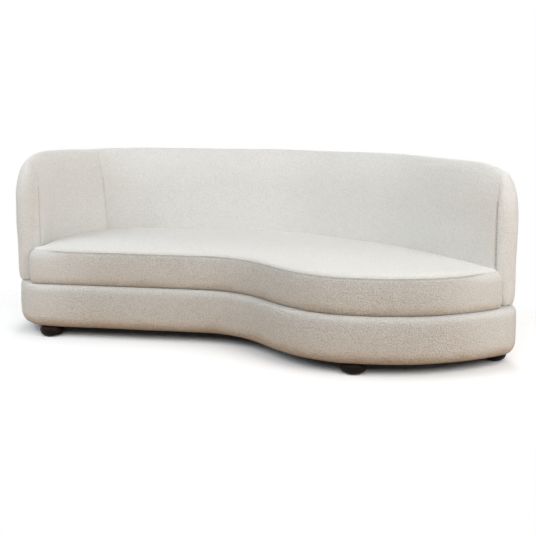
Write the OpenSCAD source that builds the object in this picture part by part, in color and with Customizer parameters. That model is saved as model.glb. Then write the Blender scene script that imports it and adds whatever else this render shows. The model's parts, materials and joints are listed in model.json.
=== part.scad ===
// Curved sofa: kidney-shaped seat, wrap-round back, padded plinth and turned bun feet.
// Millimetres. X runs along the straight back, Y towards the back, Z up from the floor.
// The origin is on the floor, under the middle of the whole sofa.

/* [Overall] */
// Length along the straight back
sofa_length = 2300; // [1900:10:2800]
// Depth from the front of the round lobe to the outside of the back
sofa_depth = 1000; // [830:10:1200]
// Height of the back's crown above the floor
sofa_height = 840; // [740:5:1010]
// Height of the seam round the top of the seat
seat_height = 408; // [370:2:490]
// Floor to the underside of the padded plinth
foot_height = 57; // [45:1:70]
// Height of the padded plinth
plinth_height = 191; // [150:1:230]

/* [Plan] */
// Straight front edge of the plinth to the inside face of the back
seat_depth = 593; // [480:5:720]
// Thickness of the upholstered back
back_thickness = 110; // [92:1:132]
// Radius of the plinth's corner under the left arm
left_corner_radius = 190; // [120:5:190]
// Radius of the plinth's corner under the right arm
right_corner_radius = 100; // [60:5:100]
// Radius of the waist, where the front turns towards the lobe
waist_radius = 420; // [300:10:480]
// Radius of the lobe's shoulder
shoulder_radius = 560; // [400:10:560]
// Radius of the lobe's broad front
lobe_radius = 1020; // [700:10:1020]
// Radius of the fold inside the left corner
crease_radius = 6; // [4:1:12]
// How far the seat's seam stands in from the plinth's edge
seat_setback = 32; // [24:1:40]
// How far the seat reaches past the left arm's inside face, in front of the arm
seat_overhang = 24; // [10:1:30]

/* [Upholstery] */
// Thickness of the cover with its backing
cover_thickness = 2.5; // [1.5:0.5:4]
// Thickness of the foam round the plinth
plinth_foam = 24; // [15:1:30]
// Thickness of the foam on the inside of the back
back_foam_thickness = 34; // [25:1:40]
// Height of the curved top of the back, from its spring line to its crown
crown_height = 200; // [120:5:230]
// How far the back's lower edge pulls in above the plinth
back_pull = 14; // [4:1:16]
// Radius of the plinth's padded edges
edge_radius = 26; // [12:1:30]
// Rise of the seat's top above its seam
seat_crown = 14; // [6:1:20]
// Thickness of the hessian over the springs
hessian_thickness = 2; // [1:0.5:3]
// Thickness of the black cloth under the plinth
dust_cover_thickness = 1; // [0.5:0.5:2]

/* [Frame] */
// Thickness of the plywood panels and rails
ply = 18; // [12:1:21]
// Thickness of the bent plywood skin round the plinth
skin_thickness = 5; // [3:1:8]
// Thickness of the thin board on both sides of the back's frame
board_thickness = 3; // [2:0.5:5]
// Width of the plywood rings
ring_width = 56; // [45:1:60]
// Side of the square posts in the plinth
post_side = 36; // [28:1:44]
// Width of the posts in the back, along its run
back_post_width = 45; // [30:1:60]
// Height of the seat's frame
seat_frame_height = 48; // [42:1:60]
// Width of the rails across the seat's frame
cross_rail_width = 34; // [25:1:45]

/* [Springs] */
// Number of zigzag springs
spring_count = 10; // [4:1:10]
// Diameter of the springs' wire
spring_wire = 3.8; // [3:0.1:4.2]
// Distance between the springs' straight bars
spring_pitch = 26; // [22:1:32]
// Length of the springs' straight bars
spring_bar = 24; // [16:1:32]
// Thickness of the springs' clips
clip_thickness = 1.3; // [1:0.1:2]
// Diameter of the tie wires across the springs
tie_wire = 2.4; // [2:0.1:3]

/* [Feet and fixings] */
// Widest diameter of a foot
foot_diameter = 112; // [90:1:125]
// Diameter of a foot's top, where it meets the plinth
foot_top_diameter = 74; // [60:1:84]
// Diameter of a glide under a foot
glide_diameter = 44; // [30:1:56]
// Thickness of a glide
glide_thickness = 4; // [3:0.5:6]
// Diameter of the bolts in the feet and between plinth and body
bolt_diameter = 8; // [6:1:10]
// Clearance between pieces that press on each other
fit_gap = 0.3; // [0.2:0.1:0.5]

/* [Hidden] */
// Largest turn between two points of a curve, in degrees
arc_step = 9;
// Longest straight stretch between two stations of the back
run_step = 110;

// Most of an edge that the fillets at its two ends may take together
edge_share = 0.98;

// Play of a spring's bar in its clip
clip_play = 0.15;

// Facets of a full turn: on bolts and their holes, on bends and glides, on feet and on wires
small_round = 32;
bend_round = 48;
foot_round = 64;
wire_round = 16;
hex_sides = 6;

// Diameters of the holes for the bolts: tight, free, round a nut's barrel and round a wrench
tight_hole = bolt_diameter + 0.4;
free_hole = bolt_diameter + 1;
barrel_hole = bolt_diameter + 3;
wrench_hole = bolt_diameter + 22;

// Heights
plinth_top = foot_height + plinth_height;
body_bottom = plinth_top + fit_gap;
seat_frame_top = body_bottom + seat_frame_height;
spring_z = seat_frame_top + clip_thickness + clip_play + spring_wire / 2;
tie_wire_z = spring_z + spring_wire / 2 + fit_gap + tie_wire / 2;
hessian_bottom = tie_wire_z + tie_wire / 2 + fit_gap;
seat_foam_bottom = hessian_bottom + hessian_thickness + fit_gap;
seat_foam_top = seat_height - cover_thickness - 2 * fit_gap;
crown_spring = sofa_height - crown_height;

// Plan lines
left_x = -sofa_length / 2;
right_x = sofa_length / 2;
lobe_y = -sofa_depth / 2;
rear_y = sofa_depth / 2;
back_y = rear_y - back_thickness;
waist_y = back_y - seat_depth;
end_radius = back_thickness / 2;

// Inside face of the back, from the left arm's end to the right arm's end: [x, y, fillet radius]
inside_face = [
    [left_x + back_thickness, waist_y + 136, 0],
    [left_x + back_thickness, waist_y + 278, 220],
    [left_x + 312, back_y - 67, crease_radius],
    [left_x + 450, back_y, 300],
    [right_x - 1000, back_y, 650],
    [right_x - 479, back_y - 263, 800],
    [right_x - 93, lobe_y + 257, 0]
];

// Outside edge of the plinth, anticlockwise from its front left corner
rear_edge = shifted_path(inside_face, back_thickness);
front_corners = [
    [left_x, waist_y, left_corner_radius],
    [right_x - 1226, waist_y, waist_radius],
    [right_x - 885, lobe_y, shoulder_radius],
    [right_x - 335, lobe_y, lobe_radius],
    [right_x, lobe_y + 218, right_corner_radius]
];
plinth_edge = concat(
    front_corners,
    [[right_x, crossing_y(rear_edge[6], rear_edge[5], right_x), right_corner_radius]],
    [for (i = [5:-1:1]) rear_edge[i]]
);

// Edge of the seat: its front follows the plinth, its rear follows the back's inside face
seat_gap = 0.4;
seat_corner_radius = 36;
seat_tip_radius = 20;
lap_angle = 30;
seat_front = inset(plinth_edge, seat_setback);
seat_rear = shifted_path(inside_face, -seat_gap);
left_end = [left_x + end_radius, inside_face[0].y];
nose_clear = (end_radius + seat_gap) / cos(lap_angle);
seat_left_x = inside_face[0].x - seat_overhang;
seat_edge = concat(
    [[seat_left_x, seat_front[0].y, seat_corner_radius]],
    [for (i = [1:3]) seat_front[i]],
    [concat(crossing(seat_front[3], seat_front[4], seat_rear[6], seat_rear[5]), [seat_tip_radius])],
    [for (i = [5:-1:1]) seat_rear[i]],
    [[seat_rear[0].x, left_end.y - nose_clear / 2, 8]],
    [[seat_left_x, left_end.y - nose_clear / 2 - (seat_rear[0].x - seat_left_x) * tan(lap_angle), 4]]
);

// Foot centres: front left, lobe, right, then rear left, middle, right
foot_places = [
    [left_x + 188, waist_y + 63],
    [right_x - 683, lobe_y + 73],
    [right_x - 83, lobe_y + 306],
    [left_x + 350, rear_y - 165],
    [right_x - 1090, rear_y - 90],
    [right_x - 410, back_y - 290]
];
foot_top = foot_height - dust_cover_thickness;

// Layers of the plinth, as distances in from its edge
plinth_foam_out = cover_thickness + fit_gap;
plinth_skin_out = plinth_foam_out + plinth_foam + fit_gap;
plinth_panel_out = plinth_skin_out + skin_thickness;
plinth_fold = 45;
panel_bottom = foot_height + cover_thickness + fit_gap;
panel_top = panel_bottom + ply;
top_ring_top = plinth_top - cover_thickness - fit_gap;
top_ring_bottom = top_ring_top - ply;

// Layers of the back, as distances out from its inside face
foam_in = cover_thickness + fit_gap;
inner_board_in = foam_in + back_foam_thickness + fit_gap;
rail_in = inner_board_in + board_thickness;
wadding_out = back_thickness - cover_thickness - fit_gap;
wadding_thickness = 4;
outer_board_out = wadding_out - wadding_thickness;
rail_out = outer_board_out - board_thickness;
// The lower rail stays clear of the back's pulled-in lower edge
lower_rail_out = back_thickness - back_pull - foam_in;

// The top rail is narrower than the others, and stands this far below the crown
top_rail_share = 0.7;
top_rail_drop = 70;
middle_rail_drop = 110;
top_rail_out = back_thickness * top_rail_share;
rail_levels = [body_bottom, crown_spring - middle_rail_drop, sofa_height - top_rail_drop];
end_board_thickness = 15;
board_setback = end_board_thickness + 2 * fit_gap;
post_play = 2;
back_post_count = 11;

// Edge of the seat's frame: under the seat at the front, up to the back's rails at the rear
frame_setback = 18;
frame_corner_radius = 20;
frame_tip_radius = 8;
frame_front = inset(seat_edge, frame_setback);
frame_rear = shifted_path(inside_face, rail_in - fit_gap);
frame_inner = shifted_path(inside_face, -frame_setback - seat_gap);
frame_edge = concat(
    [[frame_inner[0].x, frame_front[0].y, frame_corner_radius]],
    [for (i = [1:4]) frame_front[i]],
    [[frame_inner[6].x, frame_inner[6].y, 1]],
    [[frame_rear[6].x, frame_rear[6].y, 1]],
    [for (i = [5:-1:1]) frame_rear[i]],
    [[frame_rear[0].x, frame_rear[0].y, 1]],
    [[frame_inner[0].x, frame_inner[0].y, 1]]
);

// Opening inside the frame's rings
hole_front = inset(seat_edge, frame_setback + ring_width);
hole_rear = shifted_path(inside_face, rail_in - ring_width);
frame_hole = concat(
    [[hole_rear[0].x, hole_front[0].y, frame_corner_radius]],
    [for (i = [1:3]) hole_front[i]],
    [concat(crossing(hole_front[3], hole_front[4], hole_rear[6], hole_rear[5]), [frame_tip_radius])],
    [for (i = [5:-1:1]) hole_rear[i]]
);

// Springs, rails across the frame, and bolts between the plinth and the body
spring_from_left = 250;
spring_from_right = 450;
spring_left = left_x + spring_from_left;
spring_right = right_x - spring_from_right;
spring_places = [
    for (i = [0:spring_count - 1])
    spring_left + (spring_right - spring_left) * i / (spring_count - 1)
];
clip_width = 18;
clip_foot = 14;
cross_rail_places = [left_x + 560, right_x - 1010, right_x - 470];
// Cross rails end this far below the springs, and bolts stand this far inside a ring's inner edge
cross_rail_drop = 18;
bolt_edge = 18;
cross_rail_height = seat_frame_height - cross_rail_drop;
bolt_inset = plinth_panel_out + ring_width - bolt_edge;
front_bolts = [
    [left_x + 330, waist_y + bolt_inset],
    [right_x - 1450, waist_y + bolt_inset],
    [right_x - 560, lobe_y + bolt_inset + 6]
];

cream = "ivory";
timber = "burlywood";
espresso = [0.13, 0.09, 0.07];

// ---- Plane geometry ----

function flat(p) = [p.x, p.y];
function unit(v) = v / norm(v);
function left_of(v) = [-v.y, v.x];
function cross2(a, b) = a.x * b.y - a.y * b.x;
function heading(a, b) = unit(flat(b) - flat(a));
function last(list) = list[len(list) - 1];
function backwards(list) = [for (i = [len(list) - 1:-1:0]) list[i]];

// Where the line through a and b meets the line through c and d
function crossing(a, b, c, d) =
    let (u = flat(b) - flat(a), v = flat(d) - flat(c))
    flat(a) + u * cross2(flat(c) - flat(a), v) / cross2(u, v);

// Height at which the line through a and b meets the upright line at x
function crossing_y(a, b, x) = a.y + (b.y - a.y) * (x - a.x) / (b.x - a.x);

// A corner moved by d to the left of both its edges, with its fillet on the same centre
function moved_corner(a, b, c, d) =
    let (
        u = heading(a, b),
        w = heading(b, c),
        m = (left_of(u) + left_of(w)) / (1 + left_of(u) * left_of(w)),
        side = sign(cross2(u, w))
    )
    [b.x + m.x * d, b.y + m.y * d, max(b.z - side * d, 1)];

// A closed anticlockwise outline moved inwards by d
function inset(corners, d) =
    let (n = len(corners))
    [for (i = [0:n - 1]) moved_corner(corners[(i + n - 1) % n], corners[i], corners[(i + 1) % n], d)];

// An open run of corners moved by d to its left, its ends square to their edges
function shifted_path(corners, d) =
    let (
        n = len(corners),
        first_step = left_of(heading(corners[0], corners[1])) * d,
        last_step = left_of(heading(corners[n - 2], corners[n - 1])) * d
    )
    concat(
        [[corners[0].x + first_step.x, corners[0].y + first_step.y, 0]],
        [for (i = [1:n - 2]) moved_corner(corners[i - 1], corners[i], corners[i + 1], d)],
        [[corners[n - 1].x + last_step.x, corners[n - 1].y + last_step.y, 0]]
    );

// Corners with each fillet limited to what its two edges leave room for
function fitted(corners) =
    let (
        n = len(corners),
        reach = [
            for (i = [0:n - 1])
            let (
                u = heading(corners[(i + n - 1) % n], corners[i]),
                w = heading(corners[i], corners[(i + 1) % n])
            )
            corners[i].z * tan(abs(atan2(cross2(u, w), u * w)) / 2)
        ],
        room = [
            for (i = [0:n - 1])
            let (need = reach[i] + reach[(i + 1) % n])
            need > 0 ? edge_share * norm(flat(corners[(i + 1) % n]) - flat(corners[i])) / need : 1
        ]
    )
    [
        for (i = [0:n - 1])
        [corners[i].x, corners[i].y, corners[i].z * min(1, room[(i + n - 1) % n], room[i])]
    ];

// Points and left-hand normals round one fillet: [[x, y], [normal x, normal y]]
function fillet(a, b, c) =
    let (
        u = heading(a, b),
        w = heading(b, c),
        turn = atan2(cross2(u, w), u * w),
        start = flat(b) - u * b.z * tan(abs(turn) / 2),
        centre = start + left_of(u) * sign(turn) * b.z,
        steps = max(1, ceil(abs(turn) / arc_step))
    )
    [
        for (j = [0:steps])
        let (angle = atan2(-u.x, u.y) + turn * j / steps + (turn > 0 ? 0 : 180))
        [
            centre + b.z * [cos(angle), sin(angle)],
            (turn > 0 ? -1 : 1) * [cos(angle), sin(angle)]
        ]
    ];

// A closed outline with its corners rounded
function rounded(corners) =
    let (n = len(corners), c = fitted(corners))
    [
        for (i = [0:n - 1])
        for (s = fillet(c[(i + n - 1) % n], c[i], c[(i + 1) % n])) s[0]
    ];

// ---- The back's run ----

// Stations along the inside face: [point, outward normal, width share, height share]
run_face = fitted(inside_face);
function run_corners() = [
    for (i = [0:len(run_face) - 1])
    if (i == 0) [flat(run_face[0]), left_of(heading(run_face[0], run_face[1]))]
    else if (i == len(run_face) - 1)
        [flat(run_face[i]), left_of(heading(run_face[i - 1], run_face[i]))]
    else each fillet(run_face[i - 1], run_face[i], run_face[i + 1])
];

// The same stations with long straight stretches divided
function divided(stations) = [
    for (i = [0:len(stations) - 2])
    let (
        a = stations[i],
        b = stations[i + 1],
        parts = max(1, ceil(norm(b[0] - a[0]) / run_step))
    )
    for (j = [0:parts - 1])
    [a[0] + (b[0] - a[0]) * j / parts, unit(a[1] + (b[1] - a[1]) * j / parts), 1, 1],
    concat(last(stations), [1, 1])
];

// Stations round an arm's end: the section narrows and its crown drops towards the tip
nose_angles = [78, 60, 45, 30, 15];
nose_low = 0.45;
function nose(tip, forward) = [
    for (angle = nose_angles)
    [
        tip[0] + forward * end_radius * sin(angle),
        tip[1],
        cos(angle),
        nose_low + (1 - nose_low) * cos(angle)
    ]
];

run = divided(run_corners());
run_tip_left = run[0];
run_tip_right = last(run);
left_nose = nose(run_tip_left, left_of(run_tip_left[1]));
right_nose = nose(run_tip_right, -left_of(run_tip_right[1]));
crease_stations = [
    for (i = [0:len(run) - 1])
    if (norm(run[i][0] - flat(inside_face[2])) < crease_radius) i
];

// A place at distance d from the inside face and height z, at one station
function placed(station, d, z) =
    let (
        share = end_radius + (d - end_radius) * station[2],
        spot = station[0] + station[1] * share,
        lift = z > crown_spring ? crown_spring + (z - crown_spring) * station[3] : z
    )
    [spot.x, spot.y, lift];

// A strip in plan between two distances from the inside face
function strip(stations, d_in, d_out) = concat(
    [for (s = stations) s[0] + s[1] * d_in],
    [for (s = backwards(stations)) s[0] + s[1] * d_out]
);

// Distance along the run up to station number i
function walked(i) = i == 0 ? 0 : norm(run[i][0] - run[i - 1][0]) + walked(i - 1);
run_length = walked(len(run) - 1);

// Station at a given distance along the run: [point, outward normal]
function station_at(distance, i = 1) =
    let (step = norm(run[i][0] - run[i - 1][0]))
    distance <= step || i == len(run) - 1
        ? let (t = min(distance / step, 1))
            [
                run[i - 1][0] + (run[i][0] - run[i - 1][0]) * t,
                unit(run[i - 1][1] + (run[i][1] - run[i - 1][1]) * t)
            ]
        : station_at(distance - step, i + 1);

// The back's posts are evenly spaced, and its bolts stand halfway between two posts
post_start = board_setback + back_post_width;
post_spacing = (run_length - 2 * post_start) / (back_post_count - 1);
rear_bolt_posts = [3.5, 5.5];
rear_bolt_in = 12;
rear_bolts = [
    for (i = rear_bolt_posts)
    let (station = station_at(post_start + i * post_spacing))
    station[0] + station[1] * (rail_in + rear_bolt_in)
];
bolt_places = concat(front_bolts, rear_bolts);

// The run between the boards that close the frame at the arms' ends
run_between = concat(
    [station_at(board_setback)],
    [
        for (i = [1:len(run) - 2])
        if (walked(i) > board_setback + 1 && walked(i) < run_length - board_setback - 1) run[i]
    ],
    [station_at(run_length - board_setback)]
);

// ---- Sections of the back, as [distance from the inside face, height] ----

// Half of the crown: an ellipse from its foot to its top, pulled in by inset_by
function crown_arc(centre_d, half_width, inset_by, angles) = [
    for (angle = angles)
    [
        centre_d - (half_width - inset_by) * cos(angle),
        crown_spring + (crown_height - inset_by) * sin(angle)
    ]
];

crown_share = 0.47;
crown_d = back_thickness * crown_share;
inner_angles = [0, 18, 34, 48, 60, 71, 81, 90];
outer_angles = [90, 99, 109, 120, 132, 146, 162, 180];

function crown_profile(inset_by) = concat(
    crown_arc(crown_d, crown_d, inset_by, inner_angles),
    [for (p = crown_arc(crown_d, back_thickness - crown_d, inset_by, outer_angles)) if (p.x > crown_d) p]
);

// Where the inside cover stops and the outside cover starts, counted along the crown's profile
top_seam = 11;

// Lower edge of a face, downwards, as [distance in from the face, height above the body's bottom]
hem_rise = 60;
hem_turns = [90, 60, 30, 0];
hem_edge = [for (turn = hem_turns) [back_pull * (1 - sin(turn)), hem_rise * (1 - cos(turn))]];
function inner_hem() = [for (p = backwards(hem_edge)) [p[0], body_bottom + p[1]]];
function outer_hem(inset_by) = [
    for (p = hem_edge) [back_thickness - inset_by - p[0], body_bottom + p[1]]
];
cover_crown = crown_profile(0);
cover_lining = crown_profile(cover_thickness);
foam_crown = crown_profile(foam_in);

// ---- Solids from loops of points ----

// Triangles that fill a section whose first points run along one side and the rest run back
function cap_between(size, split) =
    let (
        a = split - 1,
        b = size - split - 1,
        partner = [for (i = [0:a - 1]) floor((i + 0.5) * b / a + 0.5)]
    )
    concat(
        [for (i = [0:a - 1]) [i, i + 1, size - 1 - partner[i]]],
        [
            for (j = [0:b - 1])
            let (later = [for (i = [0:a - 1]) if (partner[i] > j) i])
            [size - 1 - j, len(later) > 0 ? later[0] : a, size - 2 - j]
        ]
    );

// Joins loops of equally many points; wrap also joins the last loop to the first
module lofted(loops, wrap = false, split = 0) {
    count = len(loops);
    size = len(loops[0]);
    base = (count - 1) * size;
    rings = wrap ? count : count - 1;
    sides = [
        for (k = [0:rings - 1])
        for (i = [0:size - 1])
        let (
            a = k * size + i,
            b = k * size + (i + 1) % size,
            c = ((k + 1) % count) * size + (i + 1) % size,
            d = ((k + 1) % count) * size + i
        )
        each [[a, c, b], [a, d, c]]
    ];
    cap = wrap ? [] : cap_between(size, split == 0 ? floor(size / 2) : split);
    caps = concat(cap, [for (f = cap) [base + f[0], base + f[2], base + f[1]]]);
    polyhedron([for (loop = loops) each loop], concat(sides, caps));
}

// A closed outline carried round a section of [inset, height] points
module swept_edge(outline, section) {
    lofted([
        for (p = section)
        [for (q = rounded(inset(outline, p[0]))) [q.x, q.y, p[1]]]
    ], wrap = true);
}

// A section of the back carried along its stations
module swept_back(stations, section, split = 0) {
    lofted([for (s = stations) [for (p = section) placed(s, p[0], p[1])]], split = split);
}

module slab(points, bottom, top) {
    translate([0, 0, bottom])
    linear_extrude(top - bottom)
    polygon(points);
}

// A flat ring between two insets of a closed outline
module ring(outline, outer_inset, inner_inset, bottom, top) {
    translate([0, 0, bottom])
    linear_extrude(top - bottom)
    difference() {
        polygon(rounded(inset(outline, outer_inset)));
        polygon(rounded(inset(outline, inner_inset)));
    }
}

module at_each(places, z = 0) {
    for (p = places) translate([p.x, p.y, z]) children();
}

// Lowest and highest y at which a closed list of points crosses the upright line at x
function span_at(points, x) =
    let (
        n = len(points),
        ys = [
            for (i = [0:n - 1])
            let (a = points[i], b = points[(i + 1) % n])
            if ((a.x - x) * (b.x - x) < 0) crossing_y(a, b, x)
        ]
    )
    [min(ys), max(ys)];

// Turns a child drawn in [distance from the inside face, height] upright at a station
module upright_at(station, thickness) {
    normal = station[1];
    translate([station[0].x, station[0].y, 0])
    rotate([0, 0, atan2(normal.y, normal.x)])
    translate([0, thickness / 2, 0])
    rotate([90, 0, 0])
    linear_extrude(thickness)
    children();
}

// ---- Plinth ----

module base_bottom_panel() {
    color(timber)
    difference() {
        slab(rounded(inset(plinth_edge, plinth_panel_out)), panel_bottom, panel_top);
        at_each(foot_places, panel_bottom - 1)
        cylinder(d = barrel_hole, h = ply + 2, $fn = small_round);
    }
}

module base_top_ring() {
    color(timber)
    difference() {
        ring(plinth_edge, plinth_panel_out, plinth_panel_out + ring_width, top_ring_bottom, top_ring_top);
        at_each(bolt_places, top_ring_bottom - 1)
        cylinder(d = barrel_hole, h = ply + 2, $fn = small_round);
    }
}

// Posts stand under the top ring, one beside each foot and more between the feet
module base_posts() {
    inset_share = 0.8;
    beside_share = 1.6;
    edge = rounded(inset(plinth_edge, plinth_panel_out + post_side * inset_share));
    beside_feet = [
        for (p = foot_places)
        [p.x - sign(p.x) * post_side * beside_share, p.y < back_y / 2 ? 0 : 1]
    ];
    between_feet = [[left_x + 560, 0], [right_x - 400, 0], [left_x + 640, 1], [right_x - 750, 1]];
    color(timber)
    for (place = concat(beside_feet, between_feet))
    let (x = place[0], y = span_at(edge, x)[place[1]])
    translate([x - post_side / 2, y - post_side / 2, panel_top])
    cube([post_side, post_side, top_ring_bottom - panel_top]);
}

module base_skin() {
    color(timber)
    ring(plinth_edge, plinth_skin_out, plinth_panel_out, panel_bottom, top_ring_top);
}

plinth_edge_r = min(edge_radius, plinth_foam);
corner_turns = [0, 45, 90];
function edge_arc(centre_inset, centre_z, radius, from) = [
    for (turn = corner_turns)
    [centre_inset - radius * cos(from + turn), centre_z + radius * sin(from + turn)]
];
function edge_profile(out, low, high) =
    let (radius = plinth_edge_r - out)
    concat(
        edge_arc(plinth_edge_r, low + radius, radius, -90),
        edge_arc(plinth_edge_r, high - radius, radius, 0)
    );

module base_foam() {
    inner = foam_in + plinth_foam;
    low = foot_height + foam_in;
    high = plinth_top - foam_in;
    color("khaki")
    swept_edge(plinth_edge, concat([[inner, low]], edge_profile(foam_in, low, high), [[inner, high]]));
}

module base_cover() {
    low = foot_height;
    high = plinth_top;
    t = cover_thickness;
    color(cream)
    swept_edge(plinth_edge, concat(
        [[plinth_fold, low]],
        edge_profile(0, low, high),
        [[plinth_fold, high], [plinth_fold, high - t]],
        backwards(edge_profile(t, low + t, high - t)),
        [[plinth_fold, low + t]]
    ));
}

module base_dust_cover() {
    color("black")
    difference() {
        slab(rounded(inset(plinth_edge, plinth_edge_r)), foot_height - dust_cover_thickness, foot_height);
        at_each(foot_places, foot_height - 2) cylinder(d = barrel_hole, h = 4, $fn = small_round);
    }
}

// ---- Feet ----

// Turned bun: a narrow neck under the plinth, a full round belly and a small flat sole
module bun_foot(place) {
    belly_z = (foot_top + glide_thickness) * belly_share;
    r = foot_diameter / 2;
    sole_r = foot_diameter * sole_share;
    neck_r = foot_top_diameter / 2;
    color(espresso)
    translate([place.x, place.y, 0])
    difference() {
        rotate_extrude($fn = foot_round)
        polygon(concat(
            [[0, glide_thickness], [sole_r, glide_thickness]],
            [
                for (a = [-belly_turn:belly_step:belly_turn])
                [
                    r - (r - sole_r) * (1 - cos(a)) * belly_depth,
                    belly_z + (belly_z - glide_thickness) * sin(a) * belly_height
                ]
            ],
            [[neck_r, foot_top - neck_height], [neck_r, foot_top], [0, foot_top]]
        ));
        translate([0, 0, foot_top - foot_bolt_depth])
        cylinder(d = tight_hole, h = foot_bolt_depth + 1, $fn = small_round);
    }
}
foot_bolt_depth = 30;
foot_bolt_end = 6;
neck_height = 5;

// Shape of a foot's belly: its height, the sole's width, and the turns and fullness of its round
belly_share = 0.48;
sole_share = 0.34;
belly_turn = 66;
belly_step = 12;
belly_depth = 0.95;
belly_height = 1.02;

module foot_front_left() { bun_foot(foot_places[0]); }
module foot_front_lobe() { bun_foot(foot_places[1]); }
module foot_front_right() { bun_foot(foot_places[2]); }
module foot_rear_left() { bun_foot(foot_places[3]); }
module foot_rear_middle() { bun_foot(foot_places[4]); }
module foot_rear_right() { bun_foot(foot_places[5]); }

module foot_bolts() {
    bottom = foot_top - foot_bolt_depth;
    color("silver")
    at_each(foot_places, bottom + fit_gap)
    cylinder(d = bolt_diameter, h = panel_top - bottom + foot_bolt_end, $fn = small_round);
}

nut_flange = 12;
nut_flange_thickness = 1.6;
nut_wall = 2.6;
nut_clear = 4;

// Flanged nut: its barrel fills the panel's hole and its flange lies on the panel's upper face
module tee_nut(barrel) {
    difference() {
        union() {
            cylinder(d = bolt_diameter + nut_flange, h = nut_flange_thickness, $fn = small_round);
            translate([0, 0, -barrel])
            cylinder(d = bolt_diameter + nut_wall, h = barrel + 1, $fn = small_round);
        }
        translate([0, 0, -barrel - 1])
        cylinder(d = bolt_diameter + fit_gap, h = barrel + 4, $fn = small_round);
    }
}

module foot_tee_nuts() {
    color("silver")
    at_each(foot_places, panel_top) tee_nut(ply - nut_clear);
}

module foot_glides() {
    color("dimgray")
    at_each(foot_places) cylinder(d = glide_diameter, h = glide_thickness, $fn = bend_round);
}

// ---- Seat frame ----

lower_ring_top = body_bottom + ply;
upper_ring_bottom = seat_frame_top - ply;
ring_middle = rounded(inset(frame_hole, -ring_width / 2));

// Ring with a round hole at each of the front bolts
module frame_ring(bottom, bolt_hole) {
    color(timber)
    translate([0, 0, bottom])
    linear_extrude(ply)
    difference() {
        polygon(rounded(frame_edge));
        polygon(rounded(frame_hole));
        for (p = front_bolts) translate(p) circle(d = bolt_hole, $fn = small_round);
    }
}

module seat_lower_ring() { frame_ring(body_bottom, free_hole); }
module seat_upper_ring() { frame_ring(upper_ring_bottom, wrench_hole); }

// Blocks between the two rings, clear of the bolts
module seat_frame_blocks() {
    block = [50, 30];
    from_left = 230;
    from_right = 190;
    spacing = 290;
    color(timber)
    for (x = [left_x + from_left : spacing : right_x - from_right], end = [0, 1])
    let (y = span_at(ring_middle, x)[end])
    translate([x - block.x / 2, y - block.y / 2, lower_ring_top])
    cube([block.x, block.y, upper_ring_bottom - lower_ring_top]);
}

module cross_rail(x) {
    color(timber)
    translate([0, 0, body_bottom])
    linear_extrude(cross_rail_height)
    intersection() {
        polygon(rounded(frame_hole));
        translate([x - cross_rail_width / 2, -sofa_depth]) square([cross_rail_width, 2 * sofa_depth]);
    }
}
module cross_rail_left() { cross_rail(cross_rail_places[0]); }
module cross_rail_middle() { cross_rail(cross_rail_places[1]); }
module cross_rail_right() { cross_rail(cross_rail_places[2]); }

// ---- Bolts between plinth and body ----

washer_thickness = 1.6;
bolt_tail = 10;
head_width = 1.6;
head_height = 0.65;
module body_bolts() {
    low = top_ring_bottom - bolt_tail;
    high = lower_ring_top + washer_thickness;
    color("silver")
    at_each(bolt_places) {
        translate([0, 0, low]) cylinder(d = bolt_diameter, h = high - low, $fn = small_round);
        translate([0, 0, high])
        cylinder(d = bolt_diameter * head_width, h = bolt_diameter * head_height, $fn = hex_sides);
    }
}

module body_washers() {
    color("silver")
    at_each(bolt_places, lower_ring_top)
    difference() {
        cylinder(d = bolt_diameter * 2, h = washer_thickness, $fn = small_round);
        translate([0, 0, -1]) cylinder(d = tight_hole, h = washer_thickness + 2, $fn = small_round);
    }
}

module body_tee_nuts() {
    color("silver")
    at_each(bolt_places, top_ring_bottom)
    mirror([0, 0, 1]) tee_nut(ply - nut_clear);
}

// ---- Springs ----

function spring_bars(x) =
    let (
        span = span_at(ring_middle, x),
        steps = floor((span[1] - span[0]) / spring_pitch),
        start = (span[0] + span[1] - steps * spring_pitch) / 2
    )
    [for (i = [0:steps]) start + i * spring_pitch];

// Straight bars joined by half rings, first on one side and then on the other
module zigzag_spring(x) {
    bars = spring_bars(x);
    color("gray")
    translate([x, 0, spring_z - spring_wire / 2])
    linear_extrude(spring_wire)
    for (i = [0:len(bars) - 1]) {
        translate([-spring_bar / 2, bars[i] - spring_wire / 2])
        square([spring_bar, spring_wire]);
        if (i < len(bars) - 1) spring_bend(bars[i] + spring_pitch / 2, i % 2);
    }
}

module spring_bend(y, left) {
    outer_r = (spring_pitch + spring_wire) / 2;
    mirror([left, 0])
    translate([spring_bar / 2, y])
    difference() {
        circle(r = outer_r, $fn = bend_round);
        circle(r = outer_r - spring_wire, $fn = bend_round);
        translate([-2 * outer_r, -2 * outer_r]) square([2 * outer_r, 4 * outer_r]);
    }
}
module spring_1() { zigzag_spring(spring_places[0]); }
module spring_2() { zigzag_spring(spring_places[1]); }
module spring_3() { zigzag_spring(spring_places[2]); }
module spring_4() { zigzag_spring(spring_places[3]); }
module spring_5() { zigzag_spring(spring_places[4]); }
module spring_6() { zigzag_spring(spring_places[5]); }
module spring_7() { zigzag_spring(spring_places[6]); }
module spring_8() { zigzag_spring(spring_places[7]); }
module spring_9() { zigzag_spring(spring_places[8]); }
module spring_10() { zigzag_spring(spring_places[9]); }

// A clip is a foot on the frame with a loop that holds the spring's end bar
module spring_clips() {
    bore = spring_wire + 2 * clip_play;
    color("gray")
    for (x = spring_places, y = let (bars = spring_bars(x)) [bars[0], last(bars)])
    translate([x - clip_width / 2, y, spring_z])
    rotate([90, 0, 90])
    linear_extrude(clip_width)
    difference() {
        union() {
            square(bore + 2 * clip_thickness, center = true);
            translate([-clip_foot / 2, seat_frame_top - spring_z]) square([clip_foot, clip_thickness]);
        }
        square(bore, center = true);
    }
}

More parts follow.
